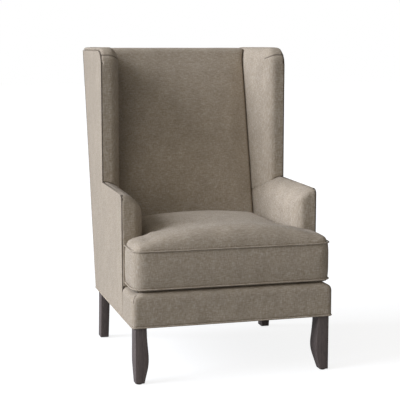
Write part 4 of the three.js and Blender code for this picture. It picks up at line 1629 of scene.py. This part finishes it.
@dataclass
class DustCover:
    """The dust cloth stapled under the base, sagging a little in its middle."""

    grid: float = 34 * MM
    sag: float = 5 * MM
    staple_pitch: float = 48 * MM
    staple_inset: float = 7 * MM
    staple_size: tuple[float, float, float] = (11 * MM, 1.3 * MM, 0.8 * MM)
    leg_room: float = 60 * MM

    def build(self) -> bpy.types.Object:
        """Copies the cloth's outline, lets it sag and staples it.

        Returns:
            The cloth.
        """
        low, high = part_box("dust_cover")
        piece = node_copy("dust_cloth", ("dust_cover",))
        for axis in (0, 1):
            Bench.cut_across(piece, axis, np.arange(low[axis] + self.grid, high[axis], self.grid))
        self.hang(piece, low, high)
        Bench.smooth(piece, 40)
        dressed(piece, DUST_CLOTH, Body.CHAIR)
        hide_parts("dust_cover")
        self.staple(low, high)
        return report(piece)

    def hang(self, piece: bpy.types.Object, low: Vector, high: Vector) -> None:
        """Lets the cloth sag between its four sides.

        Args:
            piece: The cloth.
            low: Its lowest corner.
            high: Its highest corner.
        """
        points = points_of(piece)
        across = 1 - (points[:, 0] / high.x) ** 2
        along = 1 - ((points[:, 1] - (low.y + high.y) / 2) / ((high.y - low.y) / 2)) ** 2
        points[:, 2] -= self.sag * np.clip(across, 0, 1) * np.clip(along, 0, 1)
        put_points(piece, points)

    def staple_places(self, low: Vector, high: Vector) -> list[tuple[float, float, float]]:
        """Where the staples go along the four sides, clear of the legs.

        Args:
            low: The cloth's lowest corner.
            high: Its highest corner.

        Returns:
            A place and a turn for each: x, y and the angle about z.
        """
        places = []
        reach = high.x - self.leg_room
        for x in np.arange(-reach, reach, self.staple_pitch):
            places.append((float(x), low.y + self.staple_inset, 0.0))
            places.append((float(x), high.y - self.staple_inset, 0.0))
        for y in np.arange(low.y + self.leg_room, high.y - self.leg_room, self.staple_pitch):
            places.append((low.x + self.staple_inset, float(y), math.pi / 2))
            places.append((high.x - self.staple_inset, float(y), math.pi / 2))
        return places

    def staple(self, low: Vector, high: Vector) -> None:
        """Drives a staple at each place.

        Args:
            low: The cloth's lowest corner.
            high: Its highest corner.
        """
        long, wide, thick = self.staple_size
        level = low.z - 0.3 * thick
        corner = (-long / 2, -wide / 2, level - thick / 2)
        pattern = Bench.block("staple", corner, (long / 2, wide / 2, level + thick / 2))
        Bench.ease_edges(pattern, 0.3 * thick, 1)
        copies = []
        for x, y, turn in self.staple_places(low, high):
            copy = placed("staple", pattern.data.copy())
            copy.location = (x, y, 0)
            copy.rotation_euler = (0, 0, turn)
            Bench.settle(copy)
            copies.append(copy)
        bpy.data.objects.remove(pattern)
        staples = Bench.join("dust_cloth_staples", copies)
        Bench.smooth(staples, 30)
        dressed(staples, ZINC, Body.CHAIR)
        report(staples)


@dataclass
class BackWebbing:
    """Elastic straps woven over and under each other inside the back."""

    width: float = 50 * MM
    thickness: float = 1.6 * MM
    pitch: float = 170 * MM
    rows: int = 3
    lift: float = 0.8 * MM
    ease: float = 36 * MM
    steps: int = 28
    low: Vector = field(init=False)
    high: Vector = field(init=False)

    def build(self) -> bpy.types.Object:
        """Weaves three upright and three level straps.

        Returns:
            The straps as one piece.
        """
        self.low, self.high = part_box("back_webbing")
        columns = [-self.pitch, 0.0, self.pitch]
        height = self.high.z - self.low.z
        levels = [self.low.z + height * (k + 1) / (self.rows + 1) for k in range(self.rows)]
        straps = [self.strap(2, x, levels, start) for start, x in enumerate(columns)]
        straps += [self.strap(0, z, columns, start + 1) for start, z in enumerate(levels)]
        piece = Bench.join("woven_back_webbing", straps)
        Bench.smooth(piece, 40)
        dressed(piece, WEBBING, Body.CHAIR)
        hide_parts("back_webbing")
        return report(piece)

    def strap(
        self, axis: int, place: float, crossings: Sequence[float], start: int
    ) -> bpy.types.Object:
        """Makes one strap that goes over one crossing and under the next.

        Args:
            axis: The strap's long way: 0 for x, 2 for z.
            place: Its middle across that way.
            crossings: Where it meets the others.
            start: Says on which side it begins.

        Returns:
            The strap.
        """
        across = 2 - axis
        low = [0.0, 0.0, 0.0]
        high = [0.0, self.thickness, 0.0]
        low[axis], high[axis] = self.low[axis], self.high[axis]
        low[across], high[across] = place - self.width / 2, place + self.width / 2
        piece = Bench.block("strap", low, high)
        Bench.cut_across(piece, axis, np.linspace(low[axis], high[axis], self.steps + 1)[1:-1])
        points = points_of(piece)
        slope = (self.high.y - self.thickness - self.low.y) / (self.high.z - self.low.z)
        points[:, 1] += self.low.y + slope * (points[:, 2] - self.low.z)
        for k, crossing in enumerate(crossings):
            near = bell(points[:, axis] - crossing, self.ease)
            points[:, 1] += self.lift * (-1) ** (k + start) * near
        put_points(piece, points)
        return piece


@dataclass
class Upholstery:
    """All cloth-covered parts of the chair, outside and in."""

    back_voxel: float = 8 * MM
    deck_voxel: float = 6 * MM
    deck_fill: float = 0.8
    # What smoothing takes off the square solid of the base cord, given back to its thickness.
    base_cord_lost: float = 0.9 * MM

    def build(self) -> None:
        """Makes the padded parts, the outside panels and the pipings."""
        for side in Side:
            word = side.word
            arm = (f"arm_foam_{word}", f"arm_cover_{word}")
            wing = (f"wing_foam_{word}", f"wing_cover_{word}")
            ArmPadding(f"arm_upholstery_{word}", arm, side=side).build()
            WingPadding(f"wing_upholstery_{word}", wing, side=side).build()
            Panel(f"side_panel_cloth_{word}", f"outside_panel_{word}", on_side=True).build()
        back = ("back_foam", "back_cover")
        border = ("front_border_foam", "front_border_cover")
        BackPadding("back_upholstery", back, self.back_voxel).build()
        BorderPadding("border_upholstery", border).build()
        Panel("back_panel_cloth", "outside_back_panel").build()
        Piping("base_piping", "base_welt", Body.CHAIR, self.base_cord_lost).build()
        DeckPadding("deck_upholstery", ("deck_pad",), self.deck_voxel, self.deck_fill).build()
        DustCover().build()
        BackWebbing().build()


@dataclass
class SeatCushion:
    """The loose T-shaped cushion with its pipings and its zip's tape and coil."""

    voxel: float = 8 * MM
    fill: float = 0.75
    rounding: int = 4
    tooth_pitch: float = 2.6 * MM
    tooth_width: float = 1.7 * MM
    coil_height: float = 4 * MM
    coil_proud: float = 1.5 * MM
    tape_height: float = 13.4 * MM
    tape_thickness: float = 1.1 * MM
    lean: float = 14.24

    def build(self) -> None:
        """Makes the cushion and what is sewn to it."""
        cushion = CushionPadding(
            "cushion_upholstery",
            ("seat_cushion_core",),
            self.voxel,
            self.fill,
            Body.CUSHION,
            rounding=self.rounding,
        ).build()
        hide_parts("seat_cushion_core", "seat_cushion_cover")
        for level in ("top", "bottom"):
            node = f"cushion_welt_{level}"
            Piping(f"cushion_piping_{level}", node, Body.CUSHION, necked=True).build()
        low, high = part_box("cushion_zip")
        half = (high.x - low.x) / 2
        middle = (low + high) / 2
        tape = self.sewn(self.zip_tape(half), middle, ZIP_TAPE)
        self.sewn(self.zip_coil(half), middle, ZIP_COIL)
        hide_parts("cushion_zip")

    def zip_tape(self, half: float) -> bpy.types.Object:
        """Makes the zip's tape, flat and upright.

        Args:
            half: Half the zip's length.

        Returns:
            The tape.
        """
        low = (-half, -self.tape_thickness, -self.tape_height / 2)
        tape = Bench.block("zip_tape", low, (half, 0, self.tape_height / 2))
        Bench.ease_edges(tape, 0.25 * self.tape_thickness, 2)
        return tape

    def zip_coil(self, half: float) -> bpy.types.Object:
        """Makes the row of teeth that stands out of the tape.

        Args:
            half: Half the zip's length.

        Returns:
            The coil.
        """
        count = int((2 * half - self.tooth_width) / self.tooth_pitch)
        first = -self.tooth_pitch * count / 2
        low = (first, -0.2 * MM, -self.coil_height / 2)
        high = (first + self.tooth_width, self.coil_proud, self.coil_height / 2)
        coil = Bench.block("zip_coil", low, high)
        Bench.ease_edges(coil, 0.3 * self.tooth_width, 1)
        pitch = (self.tooth_pitch, 0, 0)
        settings = {"use_relative_offset": False, "use_constant_offset": True}
        Bench.apply(coil, "ARRAY", count=count, constant_offset_displace=pitch, **settings)
        return coil

    def sewn(self, piece: bpy.types.Object, middle: Vector, finish: Finish) -> bpy.types.Object:
        """Leans a part of the zip on the cushion's rear wall and dresses it.

        Args:
            piece: The part.
            middle: The zip's middle.
            finish: The part's finish.

        Returns:
            The same part.
        """
        lean = math.radians(self.lean)
        proud = (self.coil_proud - self.tape_thickness) / 2
        piece.rotation_euler = (-lean, 0, 0)
        piece.location = (0, middle.y - proud * math.cos(lean), middle.z + proud * math.sin(lean))
        Bench.settle(piece)
        Bench.smooth(piece)
        dressed(piece, finish, Body.CUSHION)
        return report(piece)


# Woodwork and ironwork


@dataclass(frozen=True)
class LegLevel:
    """One level of a leg: shares of its height, width and depth, and of its backward rake."""

    height: float
    width: float
    depth: float
    rake: float = 0.0


@dataclass
class Leg:
    """A shaped leg whose outer front arris stays straight while the other sides swell and taper."""

    name: str
    node: str
    side: Side
    width: float
    depth: float
    front: float
    levels: tuple[LegLevel, ...]
    rake: float = 0.0
    outer: float = 369 * MM
    foot: float = 4.3 * MM
    top: float = 214 * MM
    arris: float = 2.2 * MM
    steps: int = 22

    def build(self) -> bpy.types.Object:
        """Cuts the block into levels, draws each to its size and eases the arrises.

        Returns:
            The leg.
        """
        low = (self.outer - self.width, self.front, self.foot)
        high = (self.outer, self.front + self.depth, self.top)
        piece = Bench.block(self.name, low, high)
        shares = np.linspace(0, 1, self.steps + 1)
        Bench.cut_across(piece, 2, self.foot + shares[1:-1] * (self.top - self.foot))
        for share in shares:
            self.draw_level(piece, float(share))
        self.ease(piece)
        if self.side is Side.LEFT:
            piece.scale = (-1, 1, 1)
            Bench.settle(piece)
            with Bench.editing(piece):
                bpy.ops.mesh.select_all(action="SELECT")
                bpy.ops.mesh.normals_make_consistent(inside=False)
        Bench.smooth(piece, 40)
        dressed(piece, EBONISED_OAK, Body.CHAIR)
        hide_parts(self.node)
        return report(piece)

    def draw_level(self, piece: bpy.types.Object, share: float) -> None:
        """Scales one ring of points about the outer front arris and rakes it.

        Args:
            piece: The leg in work.
            share: The ring's share of the height.
        """
        level = self.foot + share * (self.top - self.foot)
        wide = self.flowing(share, "width")
        deep = self.flowing(share, "depth")
        back = self.rake * self.flowing(share, "rake")
        near = np.abs(points_of(piece)[:, 2] - level) < 0.5 * MM
        Bench.pick(piece, "VERT", near)
        with Bench.editing(piece):
            corner = (self.outer, self.front, level)
            bpy.ops.transform.resize(value=(wide, deep, 1), center_override=corner)
            bpy.ops.transform.translate(value=(0, back, 0))

    def flowing(self, share: float, size: str) -> float:
        """Reads one size of the leg at a height, on a smooth curve through its levels.

        Args:
            share: The share of the height.
            size: The field's name.

        Returns:
            The size's share there.
        """
        ordered = sorted(self.levels, key=lambda level: level.height)
        at = np.array([level.height for level in ordered])
        values = np.array([getattr(level, size) for level in ordered])
        slopes = np.gradient(values, at)
        i = int(np.clip(np.searchsorted(at, share) - 1, 0, len(at) - 2))
        span = at[i + 1] - at[i]
        t = (share - at[i]) / span
        start = (1 + 2 * t) * (1 - t) ** 2 * values[i] + t * (1 - t) ** 2 * span * slopes[i]
        end = t**2 * (3 - 2 * t) * values[i + 1] + t**2 * (t - 1) * span * slopes[i + 1]
        return float(start + end)

    def ease(self, piece: bpy.types.Object) -> None:
        """Rounds the four long arrises and the foot's rim.

        Args:
            piece: The leg in work.
        """
        with Bench.editing(piece):
            bpy.ops.mesh.select_all(action="DESELECT")
            bpy.ops.mesh.edges_select_sharp(sharpness=math.radians(50))
            bpy.ops.mesh.bevel(offset=self.arris, segments=3, profile=0.5)


FRONT_LEVELS = (
    LegLevel(1, 0.857, 0.923),
    LegLevel(0.78, 0.888, 0.945),
    LegLevel(0.61, 0.949, 0.969),
    LegLevel(0.46, 1, 1),
    LegLevel(0.35, 0.99, 0.985),
    LegLevel(0.26, 0.939, 0.893),
    LegLevel(0.16, 0.837, 0.769),
    LegLevel(0, 0.673, 0.554),
)
BACK_LEVELS = (
    LegLevel(1, 1, 1, 0),
    LegLevel(0.66, 0.99, 0.98, 0.24),
    LegLevel(0.33, 0.97, 0.94, 0.58),
    LegLevel(0, 0.95, 0.89, 1),
)


@dataclass
class Woodwork:
    """The legs, and the finishes of the hidden frame, its springs, studs and glides."""

    nodes: dict[str, bpy.types.Object]
    front_section: tuple[float, float] = (49 * MM, 65 * MM)
    back_section: tuple[float, float] = (36 * MM, 54 * MM)
    back_rake: float = 26 * MM

    def build(self) -> None:
        """Makes the legs and refinishes what the frame keeps."""
        for side in Side:
            word = side.word
            front = (f"shaped_front_leg_{word}", f"front_leg_{word}", side)
            back = (f"shaped_back_leg_{word}", f"back_leg_{word}", side)
            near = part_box(f"front_leg_{word}")[0].y
            Leg(*front, *self.front_section, near, FRONT_LEVELS).build()
            top = self.nodes[f"back_leg_{word}"]
            rear = max(v.co.y for v in top.data.vertices if v.co.z > 213 * MM)
            near = rear - self.back_section[1]
            Leg(*back, *self.back_section, near, BACK_LEVELS, self.back_rake).build()
        for name in sorted(self.nodes):
            if name.startswith("seat_spring"):
                self.round_spring(name)
        self.refinish_frame()

    @staticmethod
    def round_spring(node: str) -> None:
        """Makes a spring's bent wire round.

        Args:
            node: The spring's node.
        """
        piece = node_copy(node.replace("seat_spring", "sinuous_spring"), (node,))
        Bench.apply(piece, "SUBSURF", levels=1, render_levels=1)
        Bench.smooth(piece, 80)
        dressed(piece, SPRING_STEEL, Body.CHAIR)
        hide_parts(node)
        report(piece)

    def refinish_frame(self) -> None:
        """Gives each hidden member a finish that fits how it was made."""
        finishes = {
            "stud": ZINC,
            "glide": GLIDE_PLASTIC,
            "front_seat_rail": BEECH_ACROSS,
            "back_seat_rail": BEECH_ACROSS,
            "side_seat_rail": BEECH_ALONG,
            "corner_block": BEECH_UPRIGHT,
            "back_post": BEECH_UPRIGHT,
            "top_back_rail": BEECH_ACROSS,
            "lower_back_rail": BEECH_ACROSS,
            "arm_stump": BEECH_UPRIGHT,
            "arm_rail": BEECH_ALONG,
            "wing_frame": BEECH_UPRIGHT,
            "zip_slider": NICKEL,
        }
        for name, node in self.nodes.items():
            for part, finish in finishes.items():
                if part in name:
                    refinish(node, finish)
        LOG.info("frame: %d nodes refinished", len(self.nodes))


# Studio


@dataclass
class Studio:
    """Camera, lamps, white surroundings and the floor."""

    camera_place: tuple[float, float, float] = (-1.1965, -4.3037, 1.2059)
    yaw: float = 15.563
    pitch: float = -7.79
    lens: float = 101.45
    sensor: float = 36.0
    key_from: tuple[float, float, float] = (-0.905, -0.03, 0.43)
    key_level: float = 1.2
    key_colour: tuple[float, float, float] = (0.965, 1.02, 1.15)
    key_spread: float = 38.0
    front_from: tuple[float, float, float] = (-0.62, -0.68, 0.4)
    front_level: float = 0.235
    front_colour: tuple[float, float, float] = (1.03, 0.995, 0.93)
    front_spread: float = 50.0
    fill_level: float = 0.22
    fill_colour: tuple[float, float, float] = (1.03, 1.0, 0.96)
    floor_shade: float = 0.3
    floor_glow: float = 0.84
    floor_size: float = 60.0

    def build(self) -> None:
        """Sets up the whole studio."""
        self.place_camera()
        self.place_lamps()
        self.lay_floor()
        bpy.context.scene.view_settings.view_transform = "Standard"

    def place_camera(self) -> None:
        """Puts the camera at the photograph's place, with its view and lens."""
        camera = placed("camera", bpy.data.cameras.new("camera"))
        camera.location = self.camera_place
        yaw, pitch = math.radians(self.yaw), math.radians(self.pitch)
        ahead = (math.sin(yaw) * math.cos(pitch), math.cos(yaw) * math.cos(pitch), math.sin(pitch))
        camera.rotation_euler = Vector(ahead).to_track_quat("-Z", "Y").to_euler()
        camera.data.lens = self.lens
        camera.data.sensor_width = self.sensor
        bpy.context.scene.camera = camera

    def place_lamps(self) -> None:
        """Adds the key from the left, a broad front lamp and even light from all round."""
        self.add_lamp("key", self.key_from, self.key_level, self.key_colour, self.key_spread)
        front = (self.front_level, self.front_colour, self.front_spread)
        self.add_lamp("front", self.front_from, *front)
        self.light_world()

    @staticmethod
    def add_lamp(
        name: str,
        way: tuple[float, float, float],
        level: float,
        colour: tuple[float, float, float],
        spread: float,
    ) -> None:
        """Adds a lamp so far off that its light comes from one side.

        Args:
            name: The lamp's name.
            way: Towards the lamp.
            level: Its light on a white face that looks at it.
            colour: Its tint.
            spread: The angle that it fills, in degrees.
        """
        lamp = bpy.data.lights.new(name, "SUN")
        lamp.energy = math.pi * level
        lamp.color = colour
        lamp.angle = math.radians(spread)
        holder = placed(name, lamp)
        holder.rotation_euler = Vector(way).to_track_quat("Z", "Y").to_euler()

    def light_world(self) -> None:
        """Gives even light from all round, with a white that only the camera sees."""
        world = bpy.data.worlds.new("white_studio")
        world.use_nodes = True
        bpy.context.scene.world = world
        tree = world.node_tree
        ground = tree.nodes["Background"]
        rays = add_node(tree, "ShaderNodeLightPath")
        seen = {0: rays.outputs["Is Camera Ray"], 1: rays.outputs["Is Transmission Ray"]}
        shown = add_node(tree, "ShaderNodeMath", seen, operation="MAXIMUM").outputs[0]
        level = {"Value": shown, "To Min": self.fill_level, "To Max": 1.0}
        strength = add_node(tree, "ShaderNodeMapRange", level).outputs["Result"]
        tree.links.new(strength, ground.inputs["Strength"])
        tints = {0: shown, 6: (*self.fill_colour, 1), 7: (1, 1, 1, 1)}
        tint = add_node(tree, "ShaderNodeMix", tints, data_type="RGBA")
        tree.links.new(tint.outputs[2], ground.inputs["Color"])

    def lay_floor(self) -> None:
        """Lays a white floor that shows as white paper and keeps a faint shadow."""
        Bench.clear()
        bpy.ops.mesh.primitive_grid_add(x_subdivisions=8, y_subdivisions=8, size=self.floor_size)
        floor = bpy.context.object
        floor.name = "floor"
        paper = bpy.data.materials.new("white_paper_floor")
        paper.use_nodes = True
        tree = paper.node_tree
        shader = tree.nodes["Principled BSDF"]
        shader.inputs["Base Color"].default_value = (*[self.floor_shade] * 3, 1)
        shader.inputs["Roughness"].default_value = 1.0
        shader.inputs["Specular IOR Level"].default_value = 0.0
        shader.inputs["Emission Color"].default_value = (1, 1, 1, 1)
        rays = add_node(tree, "ShaderNodeLightPath")
        glow = {"Value": rays.outputs["Is Camera Ray"], "To Min": 0.0, "To Max": self.floor_glow}
        strength = add_node(tree, "ShaderNodeMapRange", glow).outputs["Result"]
        tree.links.new(strength, shader.inputs["Emission Strength"])
        floor.data.materials.append(paper)


def main() -> None:
    """Builds the chair and its studio in order."""
    logging.basicConfig(level=logging.INFO, format="%(message)s")
    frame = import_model()
    Studio().build()
    Woodwork(frame["nodes"]).build()
    Upholstery().build()
    SeatCushion().build()
    Bench.clear()


if __name__ == "__main__":
    main()
